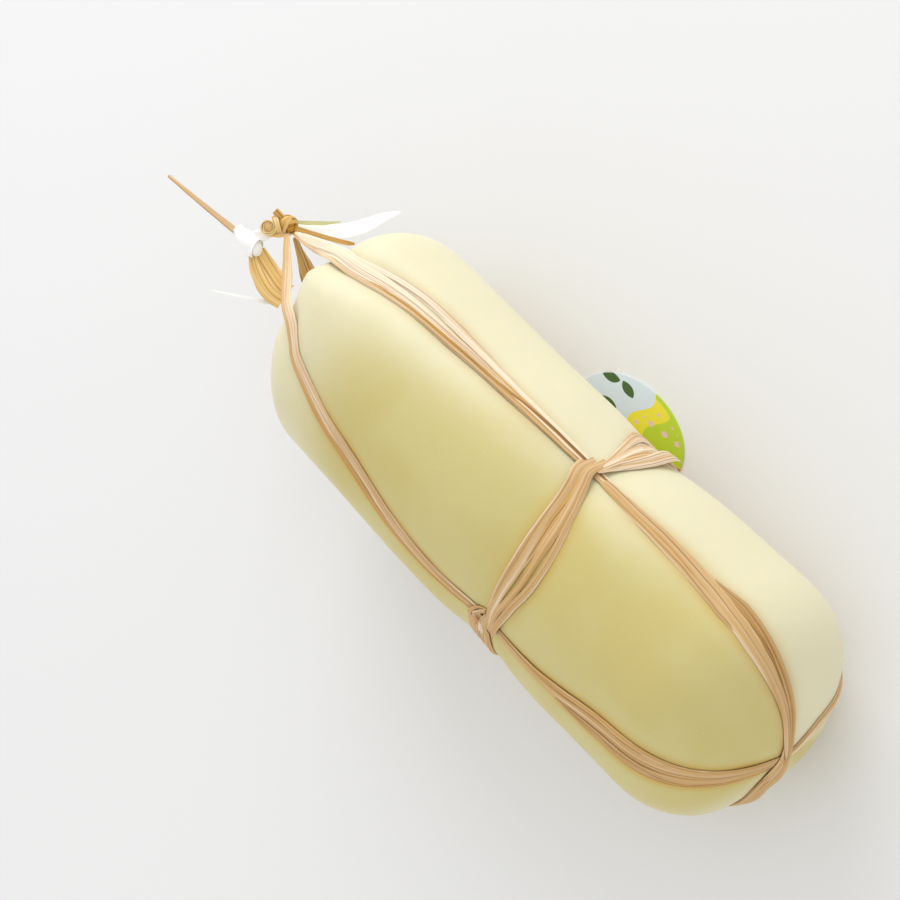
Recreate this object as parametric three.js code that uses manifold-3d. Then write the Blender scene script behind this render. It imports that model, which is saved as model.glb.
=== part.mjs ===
// A caciocavallo cheese in its raffia harness, lying on its side with its tag beside it.
// Millimetres, +Z up. +X runs from the knotted top end to the round bottom end, and the origin
// is on the small flat spot that the cheese lies on, half way along the body.

import * as THREE from 'three';
import { mergeVertices } from 'three/addons/utils/BufferGeometryUtils.js';
import loadManifold from 'manifold-3d';

// Cheese body: a round sausage about a spine, with a blunt top cap and a fuller bottom cap.
// The top cap bulges between the two front strands, and by half as much at its middle.
const BODY_RADIUS = 40.5;
const SPINE_HEIGHT = 39.2; // less than the radius, so the underside is pressed flat
const TOP_CAP = { rim: -84, length: 25.5, power: 1.85 };
const TOP_BULGE = { length: 5.3, middle: 0.5, side: 20, span: 37, from: 0.1, to: 0.75 };
const TOP_LEAN = 1.08; // how much blunter the top cap is on its far side
const TOP_SHIFT = { offset: 1.1, from: -70, to: -25 }; // the top end stands over to the far side
const BOTTOM_CAP = { rim: 73.5, length: 33.5, power: 2.5 };
const SIDEWAYS_BOW = { offset: -1.6, middle: -30, span: 80 };
const BODY_SEGMENTS = { around: 64, along: 46 };
const TOP_CAP_SHARE = 0.17; // part of the length segments that shapes each cap
const BOTTOM_CAP_SHARE = 0.23;

// How deep and how wide the raffia presses into the soft cheese.
const STRAND_PRESS = { depth: 1.2, width: 9 };
const SHOULDER_PRESS = { depth: 1.8, from: -88, to: -58 }; // added where strands turn over the top end
const RING_PRESS = { depth: 1.9, width: 16 };
const UNDERSIDE_PRESS = { depth: 1.2, width: 9, from: 140 }; // keeps the ring off the table
const PRESS_SAMPLES = 160;

// Raffia: flat strips of leaf, thickest along the middle, a little clear of what they lie on.
const GAP = 0.35;
const LEAF_EDGE = 0.5;
const LEAF_CROWN = 0.4; // added thickness along the middle
const LEAF_FULL = LEAF_EDGE + LEAF_CROWN;
const OVER = LEAF_FULL + 2 * GAP; // height of one strip lying on another
const RISE_SPAN = 9; // how far from a crossing a strip starts to rise, in mm or degrees

// The four long strands, by their direction round the body: degrees from straight up towards +Y.
const UPPER_SIDE = 44; // between the front panel and the far flank
const PULLED_SIDE = UPPER_SIDE + 3.5; // where the ring pulls the upper strand over
const LOWER_SIDE = -46;
const FAR_SIDE = 130;
const NEAR_SIDE = -130;
const UPPER_WIDTH = { run: 6, broad: 8.5, broadX: 78, back: 4.8 };
const LOWER_WIDTH = { run: 4.6, broad: 9.5, broadX: 88, back: 4.8 };
const BROAD_SPAN = 26;
const TIED_WIDTH = 2; // at the top knot
const CROSSING_WIDTH = 3.6; // at the bottom, widening over this distance
const CROSSING_SPAN = 24;
const STRAND_STEPS = 110;
const FREE_X = -104; // strands hang free between the knot and here
const HUG_X = -90; // and lie on the body from here on
const BOTTOM_CROSSING = new THREE.Vector3(107, -2, 35.5);

// The ring of raffia round the waist, which sags and spreads across the front panel.
const RING = { x: 16, sag: 8, points: 24, open: 1.2, steps: 90 }; // open: degrees under the hitch
const RING_WIDTH = { run: 6.5, panel: 6.5, panelSpan: 26, flank: 8, flankAngle: 88, flankSpan: 24 };
const HITCH = { length: 13, width: 5, slant: 0.35, steps: 10 };

// What is right, up and near on the side that is seen, for the knot and the loose ends.
const VIEW_RIGHT = new THREE.Vector3(0.616, 0.575, -0.539);
const VIEW_UP = new THREE.Vector3(-0.615, 0.778, 0.127);
const TOWARDS_VIEW = new THREE.Vector3(0.492, 0.253, 0.833);

// The top knot, where the ends of the harness are tied. Its lumps are placed from its middle.
const KNOT = new THREE.Vector3(-148, 8.5, 36.5);
const KNOT_RADIUS = 3.2;
const KNOT_TURNS = { cord: 0.8, tilts: [70, 110], spread: 1.8 };
const KNOT_LUMPS = [
  { radius: 1.5, place: [-3.3, 0.9, 2.6] }, // the cut nub
  { radius: 1.6, place: [-1.6, -2.5, 2.8] }, // the neck of the rolled end
];
const KNOT_LOOP = { radius: 1.7, cord: 0.9, place: [-2.8, -4.4, 4.6] };

const STALK = {
  base: new THREE.Vector3(-161.2, -5, 40.6), tip: new THREE.Vector3(-199.7, -7.8, 41.6),
  baseRadius: 1.1, tipRadius: 0.6, bend: 0.5,
};
const COLLAR = {
  foot: new THREE.Vector3(-160.7, -4.3, 40.7), end: new THREE.Vector3(-148.4, -5.3, 39.5), flatness: 0.8,
  profile: [[0, 0], [1.8, 0], [2.2, 0.12], [2.4, 0.38], [3.1, 0.66], [3.4, 0.9], [2.9, 1], [0, 1]],
};
const HANG_LEAF = {
  route: [
    [-147.6, -6.5, 39.6], [-145.6, -7.1, 39.8], [-139.5, -8.6, 40.2],
    [-133.4, -9.3, 40.5], [-128.4, -8.9, 40.4],
  ],
  ends: [6.4, 9], swell: 3.4, thickness: 1.2, steps: 14,
};
const CUT_TAIL = {
  route: [[-142.4, 10.3, 35.7], [-132.3, 14.5, 33.8], [-123.5, 18.3, 32.3]],
  ends: [1.8, 1.5], swell: 0, thickness: 0.9, steps: 8,
};
const RIBBON_PENNANT = {
  route: [
    [-149.9, 8.6, 30.4], [-142, 12.6, 29.3], [-132.5, 18.8, 29],
    [-126.8, 25.4, 28.5], [-123, 31.6, 28], [-119.4, 36.4, 26.8],
  ],
  ends: [1.6, 0.8], swell: 4.8, thickness: 0.6, steps: 16,
};
const RIBBON_THREAD = {
  route: [
    [-151, -6, 35.4], [-139, -10, 36.2], [-134, -14.6, 38.6],
    [-139.4, -18.1, 41.9], [-150.1, -24.1, 47.7],
  ],
  ends: [1.2, 1.2], swell: 0, thickness: 0.6, steps: 16,
};
const PENNANT_FACING = new THREE.Vector3(0.13, 0.49, 0.86);

// The oval card tag that lies beside the far flank, tied to the ring.
const TAG = { length: 47.6, width: 30.2, thickness: 0.6, x: -15.9, y: 28.6 };
const TAG_HOLE = { x: 18, y: -5, radius: 1.8 };
const TAG_TIE = {
  route: [[15, 34.6, 17], [9, 29.6, 7.4], [2.6, 24, 1.2]],
  ends: [2, 2], swell: 0, thickness: 0.7, steps: 10,
};
const AWAY_FROM_CHEESE = new THREE.Vector3(0, 1, 0);

const matt = (color, roughness) => new THREE.MeshStandardMaterial({ color, roughness, metalness: 0 });
const CHEESE = matt('#eadfaa', 0.45);
const RAFFIA = matt('#d3b377', 0.7);
const DRY_RAFFIA = matt('#c79a55', 0.7);
const WHITE_RIBBON = matt('#f2f2ee', 0.5);
const CARD = matt('#b9c94a', 0.6);

const { clamp, degToRad, lerp, radToDeg, smoothstep } = THREE.MathUtils;
const hump = (distance, width) => Math.exp(-((distance / width) ** 2));
const smoothCurve = (points) => new THREE.CatmullRomCurve3(points, false, 'centripetal');

// Nearest spine point to a place, the direction from there to it, and how far away it is.
function fromSpine(place) {
  const x = clamp(place.x, TOP_CAP.rim, BOTTOM_CAP.rim);
  const bow = SIDEWAYS_BOW.offset * hump(x - SIDEWAYS_BOW.middle, SIDEWAYS_BOW.span);
  const spine = new THREE.Vector3(x, bow, SPINE_HEIGHT);
  const direction = place.clone().sub(spine);
  const reach = direction.length();
  direction.normalize();
  return { spine, direction, reach };
}

// Degrees round the body, from straight up towards +Y.
const turnOf = (place) => radToDeg(Math.atan2(place.y, place.z - SPINE_HEIGHT));

// Distance from the spine to the plain body, before anything presses on it.
function plainReach(direction) {
  const offAxis = Math.hypot(direction.y, direction.z);
  let { length, power } = BOTTOM_CAP;
  if (direction.x < 0) {
    const turn = radToDeg(Math.atan2(direction.y, direction.z));
    const towardsRim = smoothstep(offAxis, TOP_BULGE.from, TOP_BULGE.to);
    const bulge = lerp(TOP_BULGE.middle, hump(turn - TOP_BULGE.side, TOP_BULGE.span), towardsRim);
    length = TOP_CAP.length + TOP_BULGE.length * bulge;
    power = TOP_CAP.power + TOP_LEAN * (0.5 + 0.5 * direction.y);
  }
  const axial = Math.abs(direction.x) / length;
  return (axial ** power + (offAxis / BODY_RADIUS) ** power) ** (-1 / power);
}

function onPlainBody(place) {
  const { spine, direction } = fromSpine(place);
  return spine.addScaledVector(direction, plainReach(direction));
}

function aroundVector(angle) {
  const turn = degToRad(angle);
  return new THREE.Vector3(0, Math.sin(turn), Math.cos(turn)).multiplyScalar(BODY_RADIUS);
}

// A place on the side of the plain body, and one on a cap at an angle from the axis.
function onSide(x, angle) {
  return onPlainBody(new THREE.Vector3(x, 0, SPINE_HEIGHT).add(aroundVector(angle)));
}

function onCap(cap, polar, angle) {
  const direction = aroundVector(angle).multiplyScalar(Math.sin(degToRad(polar)));
  direction.x = Math.sign(cap.rim) * BODY_RADIUS * Math.cos(degToRad(polar));
  return onPlainBody(new THREE.Vector3(cap.rim, 0, SPINE_HEIGHT).add(direction));
}

// A place by its distances right, up and near of the knot.
function fromKnot(right, up, near) {
  return KNOT.clone()
    .addScaledVector(VIEW_RIGHT, right)
    .addScaledVector(VIEW_UP, up)
    .addScaledVector(TOWARDS_VIEW, near);
}

// The free stretch from the knot to where a strand first touches the top cap, and such a stretch back.
const freeStretch = (knotEnd, touch) => [knotEnd, knotEnd.clone().lerp(touch, 0.5), touch];
const backToKnot = (touch, knotEnd) => freeStretch(knotEnd, touch).reverse();

// One long strip goes down the upper side, across the bottom and up the near side.
const upperStrand = smoothCurve([
  ...freeStretch(fromKnot(2, -3.6, 0.6), onCap(TOP_CAP, 74.3, 36.5)),
  onCap(TOP_CAP, 84, 38), onSide(-76, 41.5), onSide(-40, UPPER_SIDE + 1), onSide(-6, UPPER_SIDE + 2),
  onSide(17, PULLED_SIDE), onSide(36, UPPER_SIDE + 1.2), onSide(60, UPPER_SIDE),
  onCap(BOTTOM_CAP, 62, UPPER_SIDE - 1), onCap(BOTTOM_CAP, 30, UPPER_SIDE), BOTTOM_CROSSING,
  onCap(BOTTOM_CAP, 24, NEAR_SIDE + 18), onCap(BOTTOM_CAP, 42, NEAR_SIDE + 14),
  onCap(BOTTOM_CAP, 62, NEAR_SIDE + 12), onSide(40, NEAR_SIDE + 6), onSide(-30, NEAR_SIDE),
  onSide(-70, NEAR_SIDE - 4), ...backToKnot(onCap(TOP_CAP, 68, NEAR_SIDE - 8), fromKnot(1.4, -4, -1.6)),
]);

// The other long strip goes down the lower side, under the first one and up the far side.
const lowerStrand = smoothCurve([
  ...freeStretch(fromKnot(-0.8, -4, 1), onCap(TOP_CAP, 72, -3.6)),
  onCap(TOP_CAP, 80, -9.6), onCap(TOP_CAP, 86.4, -14.8), onSide(-78, -20.2), onSide(-67, -25.6),
  onSide(-48, LOWER_SIDE + 13), onSide(-20, LOWER_SIDE + 1.4), onSide(2, LOWER_SIDE - 1.2),
  onSide(16, LOWER_SIDE), onSide(48, LOWER_SIDE + 2), onSide(72, LOWER_SIDE + 10),
  onCap(BOTTOM_CAP, 56, LOWER_SIDE + 13), onCap(BOTTOM_CAP, 26, LOWER_SIDE + 10), BOTTOM_CROSSING,
  onCap(BOTTOM_CAP, 26, FAR_SIDE - 2), onCap(BOTTOM_CAP, 46, FAR_SIDE + 3),
  onCap(BOTTOM_CAP, 66, FAR_SIDE + 5), onSide(40, FAR_SIDE + 4), onSide(-30, FAR_SIDE + 4),
  onSide(-70, FAR_SIDE + 8), ...backToKnot(onCap(TOP_CAP, 68, FAR_SIDE + 18), fromKnot(3.6, -2.4, -2.4)),
]);

// The ring goes once round the waist, from the hitch on the lower strand back to it.
function ringX(angle) {
  const share = clamp((angle - LOWER_SIDE) / (UPPER_SIDE - LOWER_SIDE), 0, 1);
  return RING.x + RING.sag * Math.sin(Math.PI * share);
}
const waistRing = smoothCurve(Array.from({ length: RING.points + 1 }, (_, i) => {
  const angle = LOWER_SIDE + lerp(RING.open, 360 - RING.open, i / RING.points);
  return onSide(ringX(angle), angle);
}));

// The hitch strap lies over the ring where it meets the lower strand.
const hitchStrap = smoothCurve([-1, 0, 1].map(
  (end) => onSide(RING.x + end * HITCH.length / 2, LOWER_SIDE + end * HITCH.slant * HITCH.length),
));

// The raffia's marks in the cheese: places along each route that lie on the plain body.
function pressedPlaces(route) {
  return route.getSpacedPoints(PRESS_SAMPLES).filter((place) => {
    const { direction, reach } = fromSpine(place);
    return reach < plainReach(direction) + LEAF_FULL;
  });
}
const strandPlaces = [...pressedPlaces(upperStrand), ...pressedPlaces(lowerStrand)];
const ringPlaces = pressedPlaces(waistRing);
const nearest = (place, places) => Math.min(...places.map((other) => other.distanceTo(place)));

function pressedIn(place) {
  const shoulder = SHOULDER_PRESS.depth * (1 - smoothstep(place.x, SHOULDER_PRESS.from, SHOULDER_PRESS.to));
  const strand = (STRAND_PRESS.depth + shoulder) * hump(nearest(place, strandPlaces), STRAND_PRESS.width);
  const toRing = nearest(place, ringPlaces);
  const ring = RING_PRESS.depth * hump(toRing, RING_PRESS.width);
  const under = UNDERSIDE_PRESS.depth * smoothstep(Math.abs(turnOf(place)), UNDERSIDE_PRESS.from, 180);
  const atTop = 1 - smoothstep(place.x, TOP_SHIFT.from, TOP_SHIFT.to);
  const shift = -TOP_SHIFT.offset * place.y / BODY_RADIUS * atTop;
  return strand + ring + under * hump(toRing, UNDERSIDE_PRESS.width) + shift;
}

// Distance from the spine to the finished body.
function bodyReach(direction, spine) {
  const plain = plainReach(direction);
  return plain - pressedIn(spine.clone().addScaledVector(direction, plain));
}

// A place laid on the body with a clearance, or only kept clear of it where the strands hang free.
function clearOfBody(place, clearance) {
  const { spine, direction, reach } = fromSpine(place);
  const surface = bodyReach(direction, spine) + clearance;
  const hug = smoothstep(place.x, FREE_X, HUG_X);
  return spine.addScaledVector(direction, lerp(Math.max(reach, surface), surface, hug));
}

// Closes a geometry and moves each of its vertices.
function reshape(geometry, move) {
  geometry.deleteAttribute('normal');
  geometry.deleteAttribute('uv');
  const closed = mergeVertices(geometry);
  const { position } = closed.attributes;
  const vertex = new THREE.Vector3();
  for (let i = 0; i < position.count; i += 1) {
    position.setXYZ(i, ...move(vertex.fromBufferAttribute(position, i)));
  }
  closed.computeVertexNormals();
  return closed;
}

// The body is a sphere whose poles become the two ends.
function bodyGeometry() {
  const sphere = new THREE.SphereGeometry(1, BODY_SEGMENTS.around, BODY_SEGMENTS.along);
  return reshape(sphere, (vertex) => {
    const share = Math.acos(clamp(vertex.y, -1, 1)) / Math.PI;
    const around = Math.atan2(vertex.x, vertex.z);
    const topTurn = Math.min(share / TOP_CAP_SHARE, 1) * Math.PI / 2;
    const bottomTurn = Math.min((1 - share) / BOTTOM_CAP_SHARE, 1) * Math.PI / 2;
    const side = clamp((share - TOP_CAP_SHARE) / (1 - TOP_CAP_SHARE - BOTTOM_CAP_SHARE), 0, 1);
    const axial = Math.cos(bottomTurn) - Math.cos(topTurn);
    const radial = Math.sqrt(1 - axial ** 2);
    const direction = new THREE.Vector3(axial, radial * Math.sin(around), radial * Math.cos(around));
    const { spine } = fromSpine(new THREE.Vector3(lerp(TOP_CAP.rim, BOTTOM_CAP.rim, side), 0, 0));
    const place = spine.clone().addScaledVector(direction, bodyReach(direction, spine));
    place.z = Math.max(place.z, 0);
    return place;
  });
}

// A strip is a box whose length follows a route: x runs along it, z across it and y through it.
function boxAlong(steps, place) {
  const box = new THREE.BoxGeometry(1, 1, 1, steps, 1, 2);
  return reshape(box, (vertex) => place(vertex.x + 0.5, vertex.z, vertex.y));
}

// A strip that lies on the body, with a width and a clearance along it.
function stripGeometry(route, steps, width, clearance) {
  return boxAlong(steps, (share, across, through) => {
    const middle = route.getPointAt(share);
    const along = route.getTangentAt(share);
    const sideways = along.clone().cross(fromSpine(middle).direction).normalize();
    const outward = sideways.clone().cross(along);
    const underside = middle.clone().addScaledVector(sideways, across * width(middle, share));
    const crown = LEAF_CROWN * (1 - (2 * across) ** 2);
    return clearOfBody(underside, clearance(middle))
      .addScaledVector(outward, through > 0 ? LEAF_EDGE + crown : 0);
  });
}

// A strip that runs free of the body, with its face turned in a given direction.
function freeStripGeometry({ route, ends, swell, thickness, steps }, facing) {
  const curve = smoothCurve(route.map((place) => new THREE.Vector3(...place)));
  return boxAlong(steps, (share, across, through) => {
    const along = curve.getTangentAt(share);
    const sideways = along.clone().cross(facing).normalize();
    const outward = sideways.clone().cross(along);
    const width = lerp(...ends, share) + swell * Math.sin(Math.PI * share) ** 2;
    return curve.getPointAt(share)
      .addScaledVector(sideways, across * width)
      .addScaledVector(outward, through * thickness * (1 - across ** 2));
  });
}

// Width of a long strand: tied small at both knots, with a broad flat stretch near the bottom.
function strandWidth({ run, broad, broadX, back }) {
  return (middle, share) => {
    const front = lerp(run, broad, hump(middle.x - broadX, BROAD_SPAN));
    const opened = smoothstep(middle.distanceTo(BOTTOM_CROSSING), 0, CROSSING_SPAN);
    const tied = smoothstep(middle.x, KNOT.x, TOP_CAP.rim);
    return lerp(TIED_WIDTH, lerp(CROSSING_WIDTH, share < 0.5 ? front : back, opened), tied);
  };
}

function ringWidth(middle) {
  const { run, panel, panelSpan, flank, flankAngle, flankSpan } = RING_WIDTH;
  const turn = turnOf(middle);
  return run + panel * hump(turn, panelSpan) + flank * hump(turn - flankAngle, flankSpan);
}

// A strip rises over what it crosses: the upper strand at the bottom, the ring at each strand.
const flat = () => GAP;
const crossingRise = (middle) => GAP + OVER * hump(middle.distanceTo(BOTTOM_CROSSING), RISE_SPAN);
function ringRise(middle) {
  const sides = [PULLED_SIDE, LOWER_SIDE, FAR_SIDE + 4, NEAR_SIDE + 3];
  return GAP + OVER * Math.max(...sides.map((side) => hump(turnOf(middle) - side, RISE_SPAN)));
}
const hitchRise = (middle) => GAP + OVER + OVER * hump(middle.x - RING.x, HITCH.length / 2);

// Closed geometries become solids, so that lumps can be joined into one knot.
const wasm = await loadManifold();
wasm.setup();
function solidOf(geometry) {
  const closed = reshape(geometry, (vertex) => vertex);
  return new wasm.Manifold(new wasm.Mesh({
    numProp: 3,
    vertProperties: Float32Array.from(closed.attributes.position.array),
    triVerts: Uint32Array.from(closed.index.array),
  }));
}
function geometryOf(solid) {
  const { vertProperties, triVerts } = solid.getMesh();
  const geometry = new THREE.BufferGeometry();
  geometry.setAttribute('position', new THREE.BufferAttribute(vertProperties, 3));
  geometry.setIndex(new THREE.BufferAttribute(triVerts, 1));
  geometry.computeVertexNormals();
  return geometry;
}

// The top knot: a ball wrapped in two turns of raffia, with a cut nub and a small rolled loop.
function knotGeometry() {
  const core = new THREE.SphereGeometry(KNOT_RADIUS, 14, 10);
  const turns = KNOT_TURNS.tilts.map((tilt, i) => (
    new THREE.TorusGeometry(KNOT_RADIUS, KNOT_TURNS.cord, 6, 18)
      .rotateY(degToRad(tilt)).translate((i - 0.5) * KNOT_TURNS.spread, 0, 0)
  ));
  const lumps = KNOT_LUMPS.map(({ radius, place }) => (
    new THREE.SphereGeometry(radius, 10, 8).translate(...place)
  ));
  const loop = new THREE.TorusGeometry(KNOT_LOOP.radius, KNOT_LOOP.cord, 6, 14)
    .lookAt(TOWARDS_VIEW).translate(...KNOT_LOOP.place);
  return geometryOf([core, ...turns, ...lumps, loop].map(solidOf).reduce((sum, lump) => sum.add(lump)));
}

// The stiff stalk stands on its foot along +Y and tapers to its tip.
function stalkGeometry(length) {
  const cone = new THREE.CylinderGeometry(STALK.tipRadius, STALK.baseRadius, length, 10, 8);
  return reshape(cone.translate(0, length / 2, 0), (vertex) => {
    vertex.z += STALK.bend * Math.sin(Math.PI * vertex.y / length);
    return vertex;
  });
}

// The white ribbon wound round the stalk's foot: a flattened bell that stands along +Y.
function collarGeometry(length) {
  const points = COLLAR.profile.map(([distance, height]) => new THREE.Vector2(distance, height * length));
  return new THREE.LatheGeometry(points, 20).scale(1, 1, COLLAR.flatness);
}

// The oval tag: a card with a punched hole.
function tagGeometry() {
  const oval = new THREE.Shape().absellipse(0, 0, TAG.length / 2, TAG.width / 2, 0, 2 * Math.PI);
  oval.holes.push(new THREE.Path().absarc(TAG_HOLE.x, TAG_HOLE.y, TAG_HOLE.radius, 0, 2 * Math.PI, true));
  return new THREE.ExtrudeGeometry(oval, { depth: TAG.thickness, bevelEnabled: false, curveSegments: 24 });
}

function addMesh(group, name, geometry, material) {
  const mesh = new THREE.Mesh(geometry, material);
  mesh.name = name;
  group.add(mesh);
  return mesh;
}

function addHarness(group) {
  const upperWidth = strandWidth(UPPER_WIDTH);
  const lowerWidth = strandWidth(LOWER_WIDTH);
  addMesh(group, 'strand_upper', stripGeometry(upperStrand, STRAND_STEPS, upperWidth, crossingRise), RAFFIA);
  addMesh(group, 'strand_lower', stripGeometry(lowerStrand, STRAND_STEPS, lowerWidth, flat), RAFFIA);
  addMesh(group, 'ring', stripGeometry(waistRing, RING.steps, ringWidth, ringRise), RAFFIA);
  const hitch = stripGeometry(hitchStrap, HITCH.steps, () => HITCH.width, hitchRise);
  addMesh(group, 'ring_hitch', hitch, RAFFIA);
}

// A mesh made along +Y, stood on its foot and turned towards its tip.
function addStanding(group, name, geometry, material, foot, tip) {
  const mesh = addMesh(group, name, geometry, material);
  mesh.position.copy(foot);
  mesh.quaternion.setFromUnitVectors(mesh.up, tip.clone().sub(foot).normalize());
}

function addTopEnd(group) {
  addMesh(group, 'top_knot', knotGeometry(), RAFFIA).position.copy(KNOT);
  const stalk = stalkGeometry(STALK.base.distanceTo(STALK.tip));
  addStanding(group, 'stalk', stalk, DRY_RAFFIA, STALK.base, STALK.tip);
  const collar = collarGeometry(COLLAR.foot.distanceTo(COLLAR.end));
  addStanding(group, 'ribbon_collar', collar, WHITE_RIBBON, COLLAR.foot, COLLAR.end);
  addMesh(group, 'hang_leaf', freeStripGeometry(HANG_LEAF, TOWARDS_VIEW), DRY_RAFFIA);
  addMesh(group, 'cut_tail', freeStripGeometry(CUT_TAIL, TOWARDS_VIEW), DRY_RAFFIA);
  addMesh(group, 'ribbon_pennant', freeStripGeometry(RIBBON_PENNANT, PENNANT_FACING), WHITE_RIBBON);
  addMesh(group, 'ribbon_thread', freeStripGeometry(RIBBON_THREAD, TOWARDS_VIEW), WHITE_RIBBON);
}

function addTag(group) {
  const tag = addMesh(group, 'tag', tagGeometry(), CARD);
  tag.position.set(TAG.x, TAG.y, 0);
  addMesh(group, 'tag_tie', freeStripGeometry(TAG_TIE, AWAY_FROM_CHEESE), RAFFIA);
}

const caciocavallo = new THREE.Group();
addMesh(caciocavallo, 'cheese', bodyGeometry(), CHEESE);
[addHarness, addTopEnd, addTag].forEach((fill) => {
  const group = new THREE.Group();
  fill(group);
  caciocavallo.add(group);
});

export default caciocavallo;
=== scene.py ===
"""The looks of a caciocavallo cheese that lies on its side in a tied raffia harness."""

import math
from collections import namedtuple

import bpy
import numpy as np
from bpy.props import FloatProperty, FloatVectorProperty, IntProperty, PointerProperty
from mathutils import Matrix, Vector, noise
from mathutils.kdtree import KDTree


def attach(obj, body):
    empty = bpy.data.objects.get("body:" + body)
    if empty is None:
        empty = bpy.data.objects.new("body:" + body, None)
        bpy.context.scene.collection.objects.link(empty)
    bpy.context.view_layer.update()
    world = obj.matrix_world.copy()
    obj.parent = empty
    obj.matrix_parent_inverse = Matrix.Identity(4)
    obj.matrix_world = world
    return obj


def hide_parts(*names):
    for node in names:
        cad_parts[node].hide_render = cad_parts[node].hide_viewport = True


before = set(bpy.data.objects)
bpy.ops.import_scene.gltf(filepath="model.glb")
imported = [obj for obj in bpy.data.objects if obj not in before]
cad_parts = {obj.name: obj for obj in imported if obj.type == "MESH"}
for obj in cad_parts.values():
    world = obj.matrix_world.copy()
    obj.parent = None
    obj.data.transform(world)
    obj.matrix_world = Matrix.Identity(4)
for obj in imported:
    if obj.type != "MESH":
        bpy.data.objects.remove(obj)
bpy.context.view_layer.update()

bl_info = {
    "name": "Caciocavallo in raffia",
    "version": (1, 0, 0),
    "blender": (4, 5, 0),
    "location": "3D View > Sidebar > Cheese",
    "description": "Dresses a caciocavallo cheese with its raffia harness, white ribbon and card tag",
    "category": "Object",
}

MM = 0.001


def srgb(red, green, blue):
    """A colour given in 0 to 255, as the linear values that the shaders take."""
    shares = (value / 255 for value in (red, green, blue))
    return tuple(s / 12.92 if s <= 0.04045 else ((s + 0.055) / 1.055) ** 2.4 for s in shares)


def length_property(name, description, millimetres):
    return FloatProperty(
        name=name, description=description, default=millimetres * MM, unit="LENGTH", precision=5)


def colour_property(name, description, colour):
    return FloatVectorProperty(
        name=name, description=description, default=srgb(*colour), subtype="COLOR", min=0, max=1)


def angle_property(name, description, degrees):
    return FloatProperty(
        name=name, description=description, default=math.radians(degrees), subtype="ANGLE")


class CheeseSettings(bpy.types.PropertyGroup):
    """Sizes and colours of the cheese itself."""

    radius: length_property("Radius", "Radius of the plain body", 40.5)
    spine_height: length_property("Spine height", "Height of the body's middle line above the table", 39.2)
    top_rim: length_property("Top rim", "Where the blunt top cap starts, along X", -84)
    top_length: length_property("Top length", "How far the top cap bulges past its rim", 25.5)
    top_bulge: length_property("Top bulge", "How much further it bulges between the two front strands", 5.3)
    top_power: FloatProperty(name="Top bluntness", description="Higher is blunter", default=1.85)
    top_lean: FloatProperty(
        name="Top lean", description="How much blunter the top cap is on its far side", default=1.08)
    top_shift: length_property("Top shift", "How far the top end stands over to the far side", 1.1)
    bottom_rim: length_property("Bottom rim", "Where the round bottom cap starts, along X", 73.5)
    bottom_length: length_property("Bottom length", "How far the bottom cap bulges past its rim", 33.5)
    bottom_power: FloatProperty(name="Bottom bluntness", description="Higher is blunter", default=2.5)
    bow: length_property("Bow", "How far the body bends sideways", -1.6)
    bow_middle: length_property("Bow middle", "Where the body bends most, along X", -30)
    bow_span: length_property("Bow span", "Length of the bent stretch", 80)
    strand_press: length_property("Strand press", "Depth of the mark under a strand", 1.2)
    shoulder_press: length_property("Shoulder press", "Added depth where strands turn over the top", 1.8)
    ring_press: length_property("Ring press", "Depth of the waist under the ring", 1.9)
    under_press: length_property("Under press", "Added depth under the ring where the cheese lies", 1.2)
    unevenness: length_property("Unevenness", "Height of the broad swells that hands leave", 0.35)
    cuts: IntProperty(
        name="Cuts", description="Cuts along each edge of the starting cube", default=96, min=8, max=100)
    # The next two colours paint light and shade on the rind: the first where the light falls, the second
    # where shade falls; the golden patches below are mixed into the shaded one.
    lit_cream: colour_property("Cream", "Colour of the rind on its pale side", (228, 221, 186))
    shaded_butter: colour_property("Butter", "Colour of the rind on its warm side", (208, 196, 132))
    honey: colour_property("Honey", "Colour of the golden patches on the warm side", (206, 191, 122))
    # Golden colour beside the raffia: partly staining, partly painted contact shade.
    stain_and_shade: colour_property("Stain", "Colour of the rind beside the raffia", (206, 162, 62))
    speck: colour_property("Speck", "Colour of the tiny pale specks", (240, 236, 214))


class RaffiaSettings(bpy.types.PropertyGroup):
    """Sizes and colours of the raffia strips."""

    thickness: length_property("Leaf thickness", "Thickness of one ply of leaf", 0.16)
    step: length_property("Step", "Length of one face along a ply", 0.8)
    upper_side: angle_property("Upper side", "Direction of the upper strand, from up towards +Y", 44)
    lower_side: angle_property("Lower side", "Direction of the lower strand, from up towards +Y", -46)
    far_side: angle_property("Far side", "Direction of the far strand, from up towards +Y", 130)
    near_side: angle_property("Near side", "Direction of the near strand, from up towards +Y", -130)
    ring_x: length_property("Ring place", "Place of the waist ring, along X", 16)
    ring_sag: length_property("Ring sag", "How far the ring sags across the front panel", 8)
    knot: FloatVectorProperty(
        name="Knot", description="Middle of the top knot",
        default=(-148 * MM, 8.5 * MM, 36.5 * MM), subtype="TRANSLATION")
    knot_radius: length_property("Knot radius", "Radius of the top knot", 3.2)
    crossing: FloatVectorProperty(
        name="Crossing", description="Where the strands cross at the bottom",
        default=(107 * MM, -2 * MM, 35.5 * MM), subtype="TRANSLATION")
    pale: colour_property("Pale", "Colour of the palest plies", (247, 226, 197))
    straw: colour_property("Straw", "Colour of most plies", (209, 172, 119))
    gold: colour_property("Gold", "Colour of the dry plies", (200, 154, 80))
    # The dark lines that take this colour are partly fibres and partly painted shade in their grooves.
    brown: colour_property("Brown", "Colour of the dark fibre lines and the oldest plies", (120, 78, 36))
    dry_pale: colour_property("Dry pale", "Colour of the palest dry leaf", (238, 206, 144))
    dry_straw: colour_property("Dry straw", "Colour of most dry leaf", (222, 180, 102))
    dry_gold: colour_property("Dry gold", "Colour of the darkest dry leaf", (203, 148, 52))


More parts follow.
